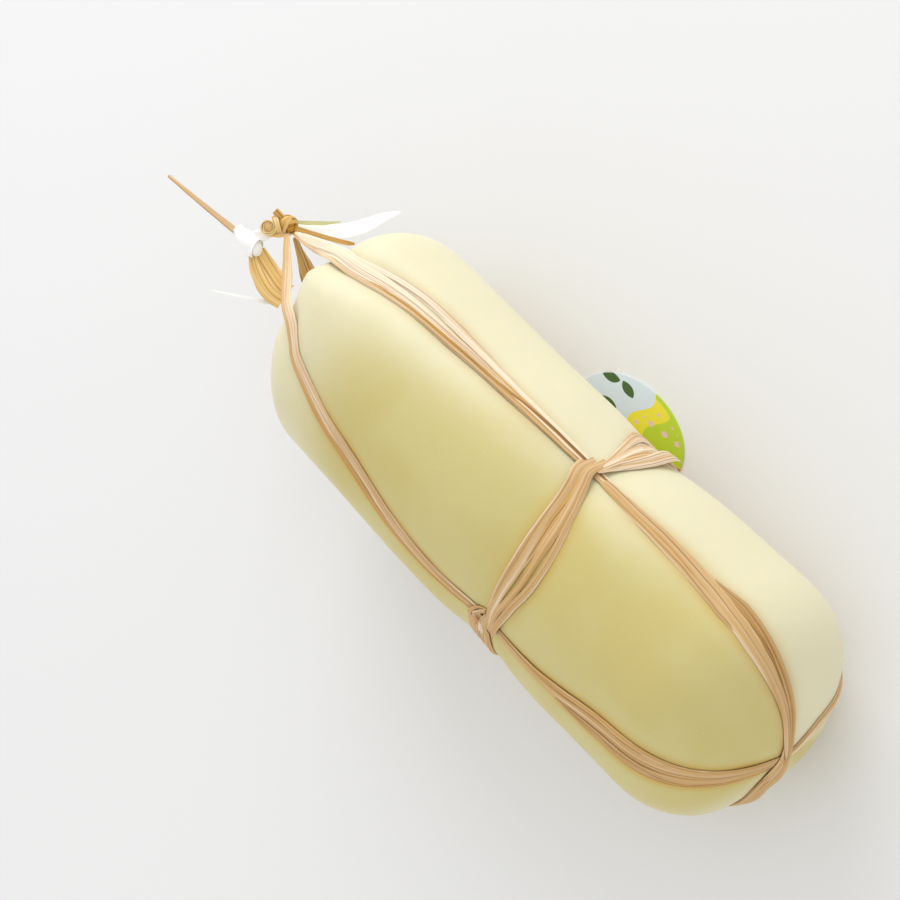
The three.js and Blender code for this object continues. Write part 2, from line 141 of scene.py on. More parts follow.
class RibbonSettings(bpy.types.PropertyGroup):
    """Sizes and colours of the white ribbon and the card tag."""

    white: colour_property("White", "Colour of the ribbon", (253, 253, 252))
    shade: colour_property("Shade", "Colour along the ribbon's creases", (228, 229, 231))
    tint: colour_property("Tint", "Colour of the ribbon's printed edge", (218, 219, 162))
    tag_length: length_property("Tag length", "Length of the oval card tag", 47.6)
    tag_width: length_property("Tag width", "Width of the oval card tag", 30.2)
    tag_thickness: length_property("Tag thickness", "Thickness of the card", 0.6)
    tag_green: colour_property("Tag green", "Colour of the tag's leaves", (58, 92, 30))
    tag_lime: colour_property("Tag lime", "Colour of the tag's end field and border", (184, 206, 40))
    tag_yellow: colour_property("Tag yellow", "Colour of the tag's band", (232, 220, 48))
    tag_sky: colour_property("Tag sky", "Colour of the tag's main field", (208, 220, 226))
    tag_rose: colour_property("Tag rose", "Colour of the tag's dots", (226, 190, 184))


class StageSettings(bpy.types.PropertyGroup):
    """The floor, the light and the camera."""

    floor_size: length_property("Floor size", "Side of the square floor", 6000)
    floor_colour: colour_property("Floor colour", "Colour of the pale floor", (238, 238, 238))
    world_colour: colour_property("Surroundings", "Colour of the light from all round", (255, 255, 255))
    world_strength: FloatProperty(
        name="Surroundings strength", description="Light from all round", default=0.86)
    key_power: FloatProperty(
        name="Key power", description="Power of the large soft light", default=10, unit="POWER")
    fill_power: FloatProperty(
        name="Fill power", description="Power of the soft light on the near side", default=1, unit="POWER")
    camera_place: FloatVectorProperty(
        name="Camera", description="Place of the camera",
        default=(302.34 * MM, 170.19 * MM, 621.75 * MM), subtype="TRANSLATION")
    azimuth: angle_property("Azimuth", "Way the camera looks, round the part", 117.2)
    elevation: angle_property("Elevation", "How steeply the camera looks down", 56.4)
    roll: angle_property("Roll", "Turn of the camera about its own axis", -76.68)
    lens: FloatProperty(name="Lens", description="Focal length", default=87.98, subtype="DISTANCE_CAMERA")


class CaciocavalloSettings(bpy.types.PropertyGroup):
    """Everything that a user would change."""

    cheese: PointerProperty(type=CheeseSettings)
    raffia: PointerProperty(type=RaffiaSettings)
    ribbon: PointerProperty(type=RibbonSettings)
    stage: PointerProperty(type=StageSettings)


# Small maths on arrays of places

def hump(distance, width):
    return np.exp(-(distance / width) ** 2)


def ease(value, low, high):
    share = np.clip((value - low) / (high - low), 0, 1)
    return share * share * (3 - 2 * share)


def blend(first, second, share):
    return first + (second - first) * share


def unit(vectors):
    return vectors / np.linalg.norm(vectors, axis=-1, keepdims=True)


def wobble(rng, run, length):
    """A smooth uneven wave along a run, between about -1 and 1."""
    phases = rng.uniform(0, 2 * math.pi, 3)
    return sum(np.sin(2 * math.pi * run * k / length + p) / k for k, p in zip((1, 2.3, 4.1), phases)) / 1.6


def wave(rng, run, size, length):
    return size * wobble(rng, run, length)


def smooth_curve(points, steps=900, fine_steps=40):
    """A centripetal curve through the points, as evenly spaced places."""
    p = np.asarray(points, float)
    p = np.vstack([2 * p[0] - p[1], p, 2 * p[-1] - p[-2]])
    pieces = []
    for a, b, c, d in zip(p, p[1:], p[2:], p[3:]):
        gaps = [math.sqrt(np.linalg.norm(step)) for step in (b - a, c - b, d - c)]
        t0, t1, t2, t3 = np.cumsum([0, *gaps])
        t = np.linspace(t1, t2, fine_steps, endpoint=False)[:, None]
        ab = (t1 - t) / (t1 - t0) * a + (t - t0) / (t1 - t0) * b
        bc = (t2 - t) / (t2 - t1) * b + (t - t1) / (t2 - t1) * c
        cd = (t3 - t) / (t3 - t2) * c + (t - t2) / (t3 - t2) * d
        abc = (t2 - t) / (t2 - t0) * ab + (t - t0) / (t2 - t0) * bc
        bcd = (t3 - t) / (t3 - t1) * bc + (t - t1) / (t3 - t1) * cd
        pieces.append((t2 - t) / (t2 - t1) * abc + (t - t1) / (t2 - t1) * bcd)
    fine = np.vstack([*pieces, p[-2:-1]])
    run = np.append(0, np.cumsum(np.linalg.norm(np.diff(fine, axis=0), axis=1)))
    even = np.linspace(0, run[-1], steps)
    return np.stack([np.interp(even, run, fine[:, axis]) for axis in range(3)], -1)


class Body:
    """The pressed surface of the cheese, worked out from its sizes."""

    FREE_X = -104 * MM  # raffia hangs free on the top side of this
    HUG_X = -90 * MM  # and lies on the cheese on the bottom side of this
    STRAND_WIDTH = 9 * MM
    RING_WIDTH = 16 * MM
    UNDER_WIDTH = 9 * MM
    UNDER_FROM = math.radians(140)
    SHOULDER = (-88 * MM, -58 * MM)
    SHIFT = (-70 * MM, -25 * MM)
    BULGE_SIDE = math.radians(20)  # where the top cap bulges most, from up towards +Y
    BULGE_SPAN = math.radians(37)
    BULGE_FADE = (0.1, 0.75)
    BULGE_MIDDLE = 0.5  # share of the bulge at the middle of the cap

    def __init__(self, sizes):
        self.sizes = sizes
        self.strand_marks = None
        self.ring_marks = None

    def from_spine(self, places):
        """Nearest spine place, the direction from there, and the distance."""
        s = self.sizes
        x = np.clip(places[..., 0], s.top_rim, s.bottom_rim)
        y = s.bow * hump(x - s.bow_middle, s.bow_span)
        spine = np.stack([x, y, np.full_like(x, s.spine_height)], -1)
        direction = places - spine
        reach = np.linalg.norm(direction, axis=-1, keepdims=True)
        return spine, direction / reach, reach

    def plain_reach(self, direction):
        s = self.sizes
        top = direction[..., :1] < 0
        off_axis = np.hypot(direction[..., 1:2], direction[..., 2:3])
        turn = np.arctan2(direction[..., 1:2], direction[..., 2:3])
        to_side = hump(turn - self.BULGE_SIDE, self.BULGE_SPAN)
        bulge = s.top_bulge * blend(self.BULGE_MIDDLE, to_side, ease(off_axis, *self.BULGE_FADE))
        length = np.where(top, s.top_length + bulge, s.bottom_length)
        power = np.where(top, s.top_power + s.top_lean * (0.5 + 0.5 * direction[..., 1:2]), s.bottom_power)
        axial = np.abs(direction[..., :1]) / length
        radial = off_axis / s.radius
        return (axial ** power + radial ** power) ** (-1 / power)

    def on_plain(self, places):
        spine, direction, _ = self.from_spine(np.asarray(places, float))
        return spine + direction * self.plain_reach(direction)

    def around(self, angle):
        return np.array([0, math.sin(angle), math.cos(angle)]) * self.sizes.radius

    def on_side(self, millimetres, angle):
        return self.on_plain(np.array([millimetres * MM, 0, self.sizes.spine_height]) + self.around(angle))

    def on_cap(self, end, polar, angle):
        """A place on the top (-1) or bottom (+1) cap, at an angle from the axis in degrees."""
        rim = self.sizes.top_rim if end < 0 else self.sizes.bottom_rim
        direction = self.around(angle) * math.sin(math.radians(polar))
        direction[0] = end * self.sizes.radius * math.cos(math.radians(polar))
        return self.on_plain(np.array([rim, 0, self.sizes.spine_height]) + direction)

    def mark(self, strands, ring):
        """Remembers where the raffia lies, for the marks that it presses into the cheese."""
        self.strand_marks = self.tree(np.vstack(strands))
        self.ring_marks = self.tree(ring)

    def tree(self, places):
        _, direction, reach = self.from_spine(places)
        lying = places[(reach < self.plain_reach(direction) + MM)[:, 0]]
        made = KDTree(len(lying))
        for index, place in enumerate(lying):
            made.insert(place, index)
        made.balance()
        return made

    @staticmethod
    def nearest(tree, places):
        return np.array([tree.find(place)[2] for place in places])

    def pressed_in(self, places):
        s = self.sizes
        to_strand = self.nearest(self.strand_marks, places)
        to_ring = self.nearest(self.ring_marks, places)
        shoulder = s.shoulder_press * (1 - ease(places[:, 0], *self.SHOULDER))
        turn = np.abs(np.arctan2(places[:, 1], places[:, 2] - s.spine_height))
        under = s.under_press * ease(turn, self.UNDER_FROM, math.pi) * hump(to_ring, self.UNDER_WIDTH)
        ring = s.ring_press * hump(to_ring, self.RING_WIDTH)
        shift = s.top_shift * -places[:, 1] / s.radius * (1 - ease(places[:, 0], *self.SHIFT))
        return (s.strand_press + shoulder) * hump(to_strand, self.STRAND_WIDTH) + ring + under + shift

    def reach(self, direction, spine):
        plain = self.plain_reach(direction)
        return plain - self.pressed_in(spine + direction * plain)[:, None]

    def lay(self, places, outward, height):
        """Places laid on the cheese at a height, or kept clear of it where the raffia hangs free."""
        height = height[:, None]
        lifted = places + outward * height
        spine, direction, reach = self.from_spine(lifted)
        surface = self.reach(direction, spine)
        free = spine + direction * np.maximum(reach, surface + height)
        spine, direction, _ = self.from_spine(places)
        lying = spine + direction * (self.reach(direction, spine) + height)
        return blend(free, lying, ease(places[:, :1], self.FREE_X, self.HUG_X))


class Line:
    """A smooth route, with the way that a strip on it faces."""

    def __init__(self, points, facing, zero=None):
        self.places = smooth_curve(points)
        steps = np.linalg.norm(np.diff(self.places, axis=0), axis=1)
        self.run = np.append(0, np.cumsum(steps))
        if zero is not None:
            nearest = np.argmin(np.linalg.norm(self.places - zero, axis=1))
            self.run = self.run - self.run[nearest]
        along = unit(np.gradient(self.places, axis=0))
        self.sideways = unit(np.cross(along, facing(self.places)))
        self.outward = np.cross(self.sideways, along)

    def at(self, run):
        """Place, sideways and outward at each distance along the line."""
        return tuple(
            np.stack([np.interp(run, self.run, part[:, axis]) for axis in range(3)], -1)
            for part in (self.places, self.sideways, self.outward)
        )


# What is right, up and near in the photo, for the loose things at the top end.
VIEW = np.array([(0.616, 0.575, -0.539), (-0.615, 0.778, 0.127), (0.492, 0.253, 0.833)])
TOWARDS_VIEW = VIEW[2]


class Harness:
    """The routes of the raffia round the cheese."""

    PULL = math.radians(3.5)  # how far the ring pulls the upper strand aside
    UNDER_STRAND = 0.62  # where a back bundle starts, from the point before the crossing to it
    RING_POINTS = 49
    MARK_EVERY = 4  # every so many places of a route press the cheese
    LYING_GAP = 2 * MM  # raffia that is nearer than this to the cheese is given golden colour beside it, partly staining and partly painted contact shade
    FREE_SPAN = 20 * MM  # over which a strip turns from the view to the cheese

    def __init__(self, settings):
        self.raffia = settings.raffia
        self.body = Body(settings.cheese)
        body, r = self.body, settings.raffia
        self.knot = np.array(r.knot)
        self.crossing = np.array(r.crossing)
        turn = math.radians
        up, low, far, near = r.upper_side, r.lower_side, r.far_side, r.near_side
        self.pulled = up + self.PULL
        leave = self.from_knot(1.5, -2.6, 0.6), body.on_cap(-1, 74.3, turn(36.5))
        upper = [
            leave[0], blend(*leave, 0.5), leave[1], body.on_cap(-1, 84, turn(38)),
            body.on_side(-76, turn(41.5)), body.on_side(-40, up + turn(1)),
            body.on_side(-6, up + turn(2)), body.on_side(17, self.pulled),
            body.on_side(36, up + turn(1.2)), body.on_side(60, up),
            body.on_cap(1, 62, up - turn(1)), body.on_cap(1, 30, up), self.crossing]
        near_back = [
            blend(upper[-2], self.crossing, self.UNDER_STRAND), self.crossing,
            body.on_cap(1, 24, near + turn(18)), body.on_cap(1, 42, near + turn(14)),
            body.on_cap(1, 62, near + turn(12)), body.on_side(40, near + turn(6)), body.on_side(-30, near),
            body.on_side(-70, near - turn(4)), body.on_cap(-1, 68, near - turn(8)),
            self.from_knot(1.4, -2.6, -1)]
        leave = self.from_knot(-0.4, -2.6, 1), body.on_cap(-1, 72, turn(-3.6))
        lower = [
            leave[0], blend(*leave, 0.4), leave[1], body.on_cap(-1, 80, turn(-9.6)),
            body.on_cap(-1, 86.4, turn(-14.8)), body.on_side(-78, turn(-20.2)),
            body.on_side(-67, turn(-25.6)), body.on_side(-48, low + turn(13)),
            body.on_side(-20, low + turn(1.4)), body.on_side(2, low - turn(1.2)),
            body.on_side(16, low), body.on_side(48, low + turn(2)), body.on_side(72, low + turn(10)),
            body.on_cap(1, 56, low + turn(13)), body.on_cap(1, 26, low + turn(10)), self.crossing]
        far_back = [
            blend(lower[-2], self.crossing, self.UNDER_STRAND), self.crossing,
            body.on_cap(1, 26, far - turn(2)), body.on_cap(1, 46, far + turn(3)),
            body.on_cap(1, 66, far + turn(5)), body.on_side(40, far + turn(4)),
            body.on_side(-30, far + turn(4)), body.on_side(-70, far + turn(8)),
            body.on_cap(-1, 68, far + turn(18)), self.from_knot(1.8, -2.2, -1)]
        angles = np.linspace(low, low + 2 * math.pi, self.RING_POINTS)
        ring = [body.on_side(self.ring_x(angle) / MM, angle) for angle in angles]
        zero = body.on_side(r.ring_x / MM, up), body.on_side(r.ring_x / MM, low)
        self.upper = Line(upper, self.facing, zero[0])
        self.lower = Line(lower, self.facing, zero[1])
        self.near_back = Line(near_back, self.facing, self.crossing)
        self.far_back = Line(far_back, self.facing, self.crossing)
        self.ring = Line(ring, self.facing)
        self.ring.run = (low + self.ring.run / self.ring.run[-1] * 2 * math.pi) * body.sizes.radius
        self.degree = turn(1) * body.sizes.radius
        strands = (self.upper, self.lower, self.near_back, self.far_back)
        marked = [line.places[::self.MARK_EVERY] for line in strands]
        body.mark(marked, self.ring.places[::self.MARK_EVERY])

    def raffia_tree(self):
        """A tree of places all over the raffia that lies on the cheese."""
        laid = (
            (UPPER_PLIES, self.upper, MM), (NEAR_BACK_PLIES, self.near_back, MM),
            (LOWER_PLIES, self.lower, MM), (FAR_BACK_PLIES, self.far_back, MM),
            (RING_PLIES + FAN_PLIES + PROUD_PLIES, self.ring, self.degree))
        places = []
        for plies, line, unit_along in laid:
            for ply in plies:
                stations = np.array(ply.stations, float) * (unit_along, MM, MM)
                run = np.arange(stations[0, 0], stations[-1, 0], MM)
                sideways, width = eased_table(run, stations)
                middle, side, _ = line.at(run)
                places += [middle + side * (sideways + k * width)[:, None] for k in (-0.5, 0, 0.5)]
        places = np.vstack(places)
        _, direction, reach = self.body.from_spine(places)
        lying = (reach < self.body.plain_reach(direction) + self.LYING_GAP)[:, 0]
        return self.body.tree(self.body.on_plain(places[lying]))

    def from_knot(self, *offset):
        """A place by its millimetres right, up and near of the knot, as the photo shows it."""
        return self.knot + np.array(offset) @ VIEW * MM

    def ring_x(self, angle):
        low, up = self.raffia.lower_side, self.raffia.upper_side
        share = np.clip((angle - low) / (up - low), 0, 1)
        return self.raffia.ring_x + self.raffia.ring_sag * math.sin(math.pi * share)

    def facing(self, places):
        """Out of the cheese where a strip lies on it, and along the view where it hangs free."""
        _, direction, _ = self.body.from_spine(places)
        lying = places[:, 0] > Body.HUG_X
        side = np.sign(np.mean(direction[lying] @ TOWARDS_VIEW))
        hug = ease(places[:, :1], Body.FREE_X - self.FREE_SPAN, Body.HUG_X)
        return blend(TOWARDS_VIEW * side, direction, hug)


# One ply of leaf: its height above what it lies on, its tone from pale (0) to brown (1), and its
# stations, each with the place along the line, the place sideways and the width.
Ply = namedtuple("Ply", "lift tone stations")


def deselect():
    if bpy.context.mode != "OBJECT":
        bpy.ops.object.mode_set(mode="OBJECT")
    bpy.ops.object.select_all(action="DESELECT")


def vertex_places(piece):
    places = np.empty(len(piece.data.vertices) * 3)
    piece.data.vertices.foreach_get("co", places)
    return places.reshape(-1, 3)


def move_vertices(piece, places):
    piece.data.vertices.foreach_set("co", np.ascontiguousarray(places, np.float32).ravel())
    piece.data.update()


def set_attribute(piece, name, values):
    made = piece.data.attributes.new(name, "FLOAT", "POINT")
    made.data.foreach_set("value", np.ascontiguousarray(values, np.float32))


def set_uv(piece, u, v):
    """Gives each corner of each face the UV of its vertex."""
    corners = np.empty(len(piece.data.loops), int)
    piece.data.loops.foreach_get("vertex_index", corners)
    pairs = np.stack([u[corners], v[corners]], -1).astype(np.float32)
    piece.data.uv_layers.active.data.foreach_set("uv", pairs.ravel())


def apply_modifier(piece, kind, **settings):
    bpy.context.view_layer.objects.active = piece
    modifier = piece.modifiers.new(kind.title(), kind)
    for name, value in settings.items():
        setattr(modifier, name, value)
    bpy.ops.object.modifier_apply(modifier=modifier.name)


def join(pieces, name):
    deselect()
    for piece in pieces:
        piece.select_set(True)
    bpy.context.view_layer.objects.active = pieces[0]
    bpy.ops.object.join()
    pieces[0].name = name
    pieces[0].data.name = name
    return pieces[0]


SMOOTH_ANGLE = math.radians(50)


def finish(piece, material, slot, *nodes):
    """Gives a finished piece its material and smooth shading, hangs it on the root and hides the CAD parts
    that it stands in for.
    """
    piece.data.materials.clear()
    piece.data.materials.append(material)
    deselect()
    piece.select_set(True)
    bpy.context.view_layer.objects.active = piece
    bpy.ops.object.shade_smooth_by_angle(angle=SMOOTH_ANGLE)
    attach(piece, "root")
    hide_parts(*nodes)


FINE_STEPS = 400
SMOOTHING = 20  # fine steps on each side that a station's value is smoothed over


def eased_table(at, stations):
    """Sideways place and width at each place along a line, smoothed between the stations."""
    first, last = stations[0, 0], stations[-1, 0]
    fine = np.linspace(first, last, FINE_STEPS)
    window = np.hanning(2 * SMOOTHING + 1)
    window /= window.sum()
    columns = []
    for column in (1, 2):
        values = np.interp(fine, stations[:, 0], stations[:, column])
        padded = np.pad(values, SMOOTHING, mode="reflect", reflect_type="odd")
        columns.append(np.interp(at, fine, np.convolve(padded, window, "valid")))
    return columns


LEAF_ACROSS = 0.22 * MM  # width of one face across a ply
ACROSS_STEPS = (5, 24)
LEAST_STEPS = 8
CREASE_SLOPE = 0.34
CREASE_WIDTH = 1.5 * MM
MOST_CREASES = 4
CREASE_SETS = (1.0, 1.7)  # how many creases each set has, as a share of the first set's
CREASE_DRIFT = 90 * MM
CREASE_FADE = 45 * MM
WIDTH_WANDER = (0.07, 30 * MM)  # share of the width, and length of the wave
FRAY = (0.05 * MM, 6 * MM)  # size and length of the small waves of the edges
SIDE_WANDER = (0.08 * MM, 30 * MM)
ROCK = (0.05, 70 * MM)  # slope and length of a ply's slow twist
UV_SHIFT = 9  # metres over which the plies' fibre patterns are scattered
EDGE_SHARPNESS = 5
CROWN = 0.05 * MM
LEAST_HEIGHT = 0.06 * MM
EDGE_DROP = 0.9  # how much of its lift a ply loses at its edges
TUCK = 9 * MM  # length over which a ply comes up at its start and down at its end
BROWNER_X = (-118 * MM, -98 * MM, -50 * MM)
BROWNER = (0.12, 0, 0.3)  # how much browner the raffia is at each of these places along X


def creases(rng, across, run, width, pleat):
    """Height of the sharp folds along a ply, which drift slowly across it."""
    count = np.clip(np.round(width.max() / CREASE_WIDTH), 1, MOST_CREASES)
    height = 0
    for share in CREASE_SETS:
        phase = rng.uniform(0, 2) + 0.5 * wobble(rng, run, CREASE_DRIFT)
        fold = np.abs((across * count * share / 2 + phase) % 2 - 1)
        depth = 0.55 + 0.45 * wobble(rng, run, CREASE_FADE)
        height = height + fold * depth / share ** 2
    return height * CREASE_SLOPE * pleat * width / (2 * count)


def lay_ply(ply, line, settle, rng, settings, unit_along=MM,
            rise=None, lean=None, pleat=1.0, thickness=None):
    """One strip of leaf along a line: a grid that is bent, creased, laid and given its thickness."""
    stations = np.array(ply.stations, float) * (unit_along, MM, MM)
    first = max(stations[0, 0], line.run[0])
    last = min(stations[-1, 0], line.run[-1])
    steps = max(LEAST_STEPS, int((last - first) / settings.step))
    across_steps = int(np.clip(stations[:, 2].max() / LEAF_ACROSS, *ACROSS_STEPS))
    deselect()
    bpy.ops.mesh.primitive_grid_add(x_subdivisions=steps, y_subdivisions=across_steps, size=2)
    strip = bpy.context.object
    start = vertex_places(strip)
    run = blend(first, last, (start[:, 0] + 1) / 2)
    across = -start[:, 1]
    sideways, width = eased_table(run, stations)
    width = width * (1 + wave(rng, run, *WIDTH_WANDER)) + wave(rng, run, *FRAY)
    sideways = sideways + wave(rng, run, *SIDE_WANDER)
    tilt = wave(rng, run, *ROCK)
    if lean is not None:
        tilt = tilt + lean(run)
    tuck = ease(run - first, 0, TUCK) * ease(last - run, 0, TUCK)
    lift = ply.lift * MM * tuck * (1 - EDGE_DROP * np.abs(across) ** 3)
    height = lift + CROWN * (1 - across ** 2) + creases(rng, across, run, width, pleat)
    height = height + np.abs(tilt) * width / 2 + tilt * across * width / 2
    if rise is not None:
        height = height + rise(run)
    place, side, outward = line.at(run)
    edge = place + side * (sideways + across * width / 2)[:, None]
    move_vertices(strip, settle(edge, outward, np.maximum(height, LEAST_HEIGHT)))
    set_uv(strip, run + rng.uniform(0, UV_SHIFT), across * width / 2 + rng.uniform(0, UV_SHIFT))
    # How near each place is to the ply's edge, where the leaf material paints its edge highlight.
    set_attribute(strip, "edge", np.abs(across) ** EDGE_SHARPNESS)
    set_attribute(strip, "tone", ply.tone + np.interp(place[:, 0], BROWNER_X, BROWNER))
    apply_modifier(strip, "SOLIDIFY", thickness=thickness or settings.thickness, offset=1)
    return strip


def lump(start, end, radius, tone=0.0):
    """A filled core between two places: a sphere that is stretched from one to the other."""
    deselect()
    bpy.ops.mesh.primitive_uv_sphere_add(segments=28, ring_count=18, radius=1)
    core = bpy.context.object
    local = vertex_places(core)
    axis = Vector(end - start)
    spin = np.array(axis.to_track_quat("Z", "Y").to_matrix())
    move_vertices(core, (local * (radius, radius, axis.length / 2)) @ spin.T + (start + end) / 2)
    set_uv(core, local[:, 2] * axis.length / 2, np.arctan2(local[:, 1], local[:, 0]) * radius)
    set_attribute(core, "edge", np.zeros(len(local)))
    set_attribute(core, "tone", np.full(len(local), tone))
    return core


def lay_free(places, outward, height):
    return places + outward * height[:, None]


def lay_plies(plies, line, settle, seed, settings, **extra):
    rng = np.random.default_rng(seed)
    return [lay_ply(ply, line, settle, rng, settings, **extra) for ply in plies]


# Shader maths

class Value:
    """A shader socket that can stand in a Python expression."""

    def __init__(self, paint, socket):
        self.paint = paint
        self.socket = socket

    def maths(self, operation, *values):
        return self.paint.node("ShaderNodeMath", {"operation": operation}, dict(enumerate(values)))

    def __add__(self, other):
        return self.maths("ADD", self, other)

    def __sub__(self, other):
        return self.maths("SUBTRACT", self, other)

    def __rsub__(self, other):
        return self.maths("SUBTRACT", other, self)

    def __mul__(self, other):
        return self.maths("MULTIPLY", self, other)

    def __pow__(self, other):
        return self.maths("POWER", self, other)

    def __abs__(self):
        return self.maths("ABSOLUTE", self)

    __radd__ = __add__
    __rmul__ = __mul__

    def sine(self):
        return self.maths("SINE", self)

    def between(self, low, high):
        """0 below low, 1 above high and smooth between them."""
        settings = {"interpolation_type": "SMOOTHSTEP"}
        sockets = {"Value": self, "From Min": low, "From Max": high}
        return self.paint.node("ShaderNodeMapRange", settings, sockets)


class Paint:
    """A material whose nodes are made one by one."""

    def __init__(self, name):
        self.material = bpy.data.materials.new(name)
        self.material.use_nodes = True
        self.tree = self.material.node_tree
        self.tree.nodes.clear()

    def node(self, kind, settings=None, sockets=None, output=0):
        """A node of a kind, with its settings first and then the values or links of its sockets."""
        made = self.tree.nodes.new(kind)
        for name, value in (settings or {}).items():
            setattr(made, name, value)
        for name, value in (sockets or {}).items():
            if isinstance(value, Value):
                self.tree.links.new(value.socket, made.inputs[name])
            else:
                made.inputs[name].default_value = value
        return Value(self, made.outputs[output]) if len(made.outputs) else None

    def place(self, output="Object"):
        return self.node("ShaderNodeTexCoord", output=output)

    def attribute(self, name):
        return self.node("ShaderNodeAttribute", {"attribute_name": name}, output="Fac")

    def stretched(self, place, scale):
        return self.node("ShaderNodeMapping", sockets={"Vector": place, "Scale": scale})

    def cloud(self, place, scale, detail=2.0, roughness=0.5):
        """Soft noise, centred on a half."""
        sockets = {"Vector": place, "Scale": scale, "Detail": detail, "Roughness": roughness}
        return self.node("ShaderNodeTexNoise", sockets=sockets)

    MIX_SHARE, MIX_FIRST, MIX_SECOND = 0, 6, 7  # the sockets of a Mix node set to colour
    MIXED = 2

    def mix(self, share, first, second):
        """A colour between two colours."""
        sockets = {
            self.MIX_SHARE: share, self.MIX_FIRST: self.colour(first), self.MIX_SECOND: self.colour(second)}
        return self.node("ShaderNodeMix", {"data_type": "RGBA"}, sockets, self.MIXED)

    @staticmethod
    def colour(value):
        return value if isinstance(value, Value) else (*value, 1)

    def bump(self, height, distance, strength=1.0):
        sockets = {"Height": height, "Distance": distance, "Strength": strength}
        return self.node("ShaderNodeBump", sockets=sockets)

    def surface(self, **sockets):
        """Ends the material with one shader, whose sockets are named with _ for a space."""
        named = {name.replace("_", " "): value for name, value in sockets.items()}
        shader = self.node("ShaderNodeBsdfPrincipled", sockets=named)
        self.node("ShaderNodeOutputMaterial", sockets={"Surface": shader})
        return self.material


def cheese_rind(s):
    """Waxy rind painted with light and shade, pale where the light falls and a deeper yellow where shade
    falls, with random broad patches, golden colour beside the raffia that is partly staining and partly
    painted contact shade, and tiny specks.
    """
    paint = Paint("cheese_rind")
    place = paint.place()
    broad = paint.cloud(place, 30, 1.5)
    small = paint.cloud(place, 80, 3)
    # Painted light and shade: this share runs from the lit pale colour to the shaded deeper yellow, broken
    # up by random broad and small patches.
    painted_shade = paint.attribute("painted_shade") + (broad - 0.5) * 0.35 + (small - 0.5) * 0.15
    golden = (paint.cloud(place, 34, 1, 0.4) * 0.85 + small * 0.15).between(0.42, 0.62)
    # Golden colour beside the raffia, partly staining and partly painted contact shade; it is kept weak
    # where the rind is painted as lit.
    stain_and_shade = paint.attribute("raffia_near") ** 1.6 * (0.7 + 0.4 * small)
    stain_and_shade = stain_and_shade * (0.3 + 0.7 * paint.attribute("painted_shade"))
    grains = paint.node("ShaderNodeTexVoronoi", {"feature": "F1"}, {"Vector": place, "Scale": 420})
    rare = paint.cloud(place, 130, 0).between(0.64, 0.7)
    specks = (1 - grains.between(0.04, 0.16)) * rare
    colour = paint.mix(painted_shade.between(0.0, 1.0), s.lit_cream, paint.mix(golden, s.shaded_butter, s.honey))
    colour = paint.mix(stain_and_shade, colour, s.stain_and_shade)
    colour = paint.mix(specks * 0.35, colour, s.speck)
    skin = small * 0.6 + paint.cloud(place, 900, 2) * 0.12 + specks * 0.5
    return paint.surface(
        Base_Color=colour,
        Roughness=0.36 + small * 0.14,
        Normal=paint.bump(skin, 0.25 * MM, 0.5),
        Subsurface_Weight=0.35,
        Subsurface_Radius=(1.0, 0.72, 0.3),
        Subsurface_Scale=4 * MM,
        IOR=1.43,
    )


def raffia_leaf(name, s, shift, dry=False):
    """Dry leaf with fibres and thin dark lines along it, the lines partly dark fibres and partly painted
    shade in the grooves that the bump cuts along them, paler edges that are a painted highlight in patches,
    and a tone for each ply.
    """
    paint = Paint(name)
    along = paint.place("UV")
    fibre = paint.cloud(paint.stretched(along, (9, 4200, 1)), 1, 2, 0.6)
    streak = paint.cloud(paint.stretched(along, (5, 1300, 1)), 1, 2, 0.5)
    blotch = paint.cloud(paint.stretched(along, (40, 300, 1)), 1, 2, 0.5)
    # Thin dark lines along the leaf: partly dark fibres, partly painted shade, as they are also grooves in
    # the bump below.
    line = paint.cloud(paint.stretched(along, (7, 1700, 7)), 1, 1, 0.5).between(0.57, 0.66)
    # Painted highlight: the pale colour is mixed in along the ply edges, in patches.
    rim_highlight_patches = paint.cloud(paint.stretched(along, (30, 0, 3)), 1, 1).between(0.4, 0.6)
    rim = paint.attribute("edge") * rim_highlight_patches
    tone = paint.attribute("tone") + shift
    tone = tone + (streak - 0.5) * 1.1 + (blotch - 0.5) * 0.4 + (fibre - 0.5) * 0.6
    pale, straw, gold = (s.dry_pale, s.dry_straw, s.dry_gold) if dry else (s.pale, s.straw, s.gold)
    colour = paint.mix(tone.between(-0.05, 0.35), pale, straw)
    colour = paint.mix(tone.between(0.35, 0.75), colour, gold)
    colour = paint.mix(rim * 0.6, colour, pale)
    dark = tone.between(0.7, 1.15) * 0.85 + line * 0.5
    colour = paint.mix(dark, colour, s.brown)
    ridges = fibre * 0.4 + streak * 0.6 - line * 0.5
    return paint.surface(
        Base_Color=colour,
        Roughness=0.46 + fibre * 0.25,
        Normal=paint.bump(ridges, 0.22 * MM, 0.8),
        IOR=1.45,
    )


def white_ribbon(s):
    """Smooth white ribbon, painted a little grey along its creases as shade, and tinted along one edge."""
    paint = Paint("white_ribbon")
    along = paint.place("UV")
    creases = paint.cloud(paint.stretched(along, (25, 700, 1)), 1, 2)
    # Painted shade: grey mixed in along the creases that the bump below raises.
    colour = paint.mix(creases.between(0.5, 0.75) * 0.35, s.white, s.shade)
    colour = paint.mix(paint.attribute("tone").between(0.5, 0.9), colour, s.tint)
    return paint.surface(
        Base_Color=colour,
        Roughness=0.35 + creases * 0.15,
        Normal=paint.bump(creases, 0.1 * MM, 0.4),
        IOR=1.45,
    )


# The tag's printed leaves: place along the tag, place across it, and lean.
TAG_LEAVES = (
    (-0.68, 0.62, 0.5), (-0.36, 0.66, -0.5), (-0.5, 0.15, 0.3), (-0.75, -0.2, -0.3), (-0.3, -0.4, 0.5))


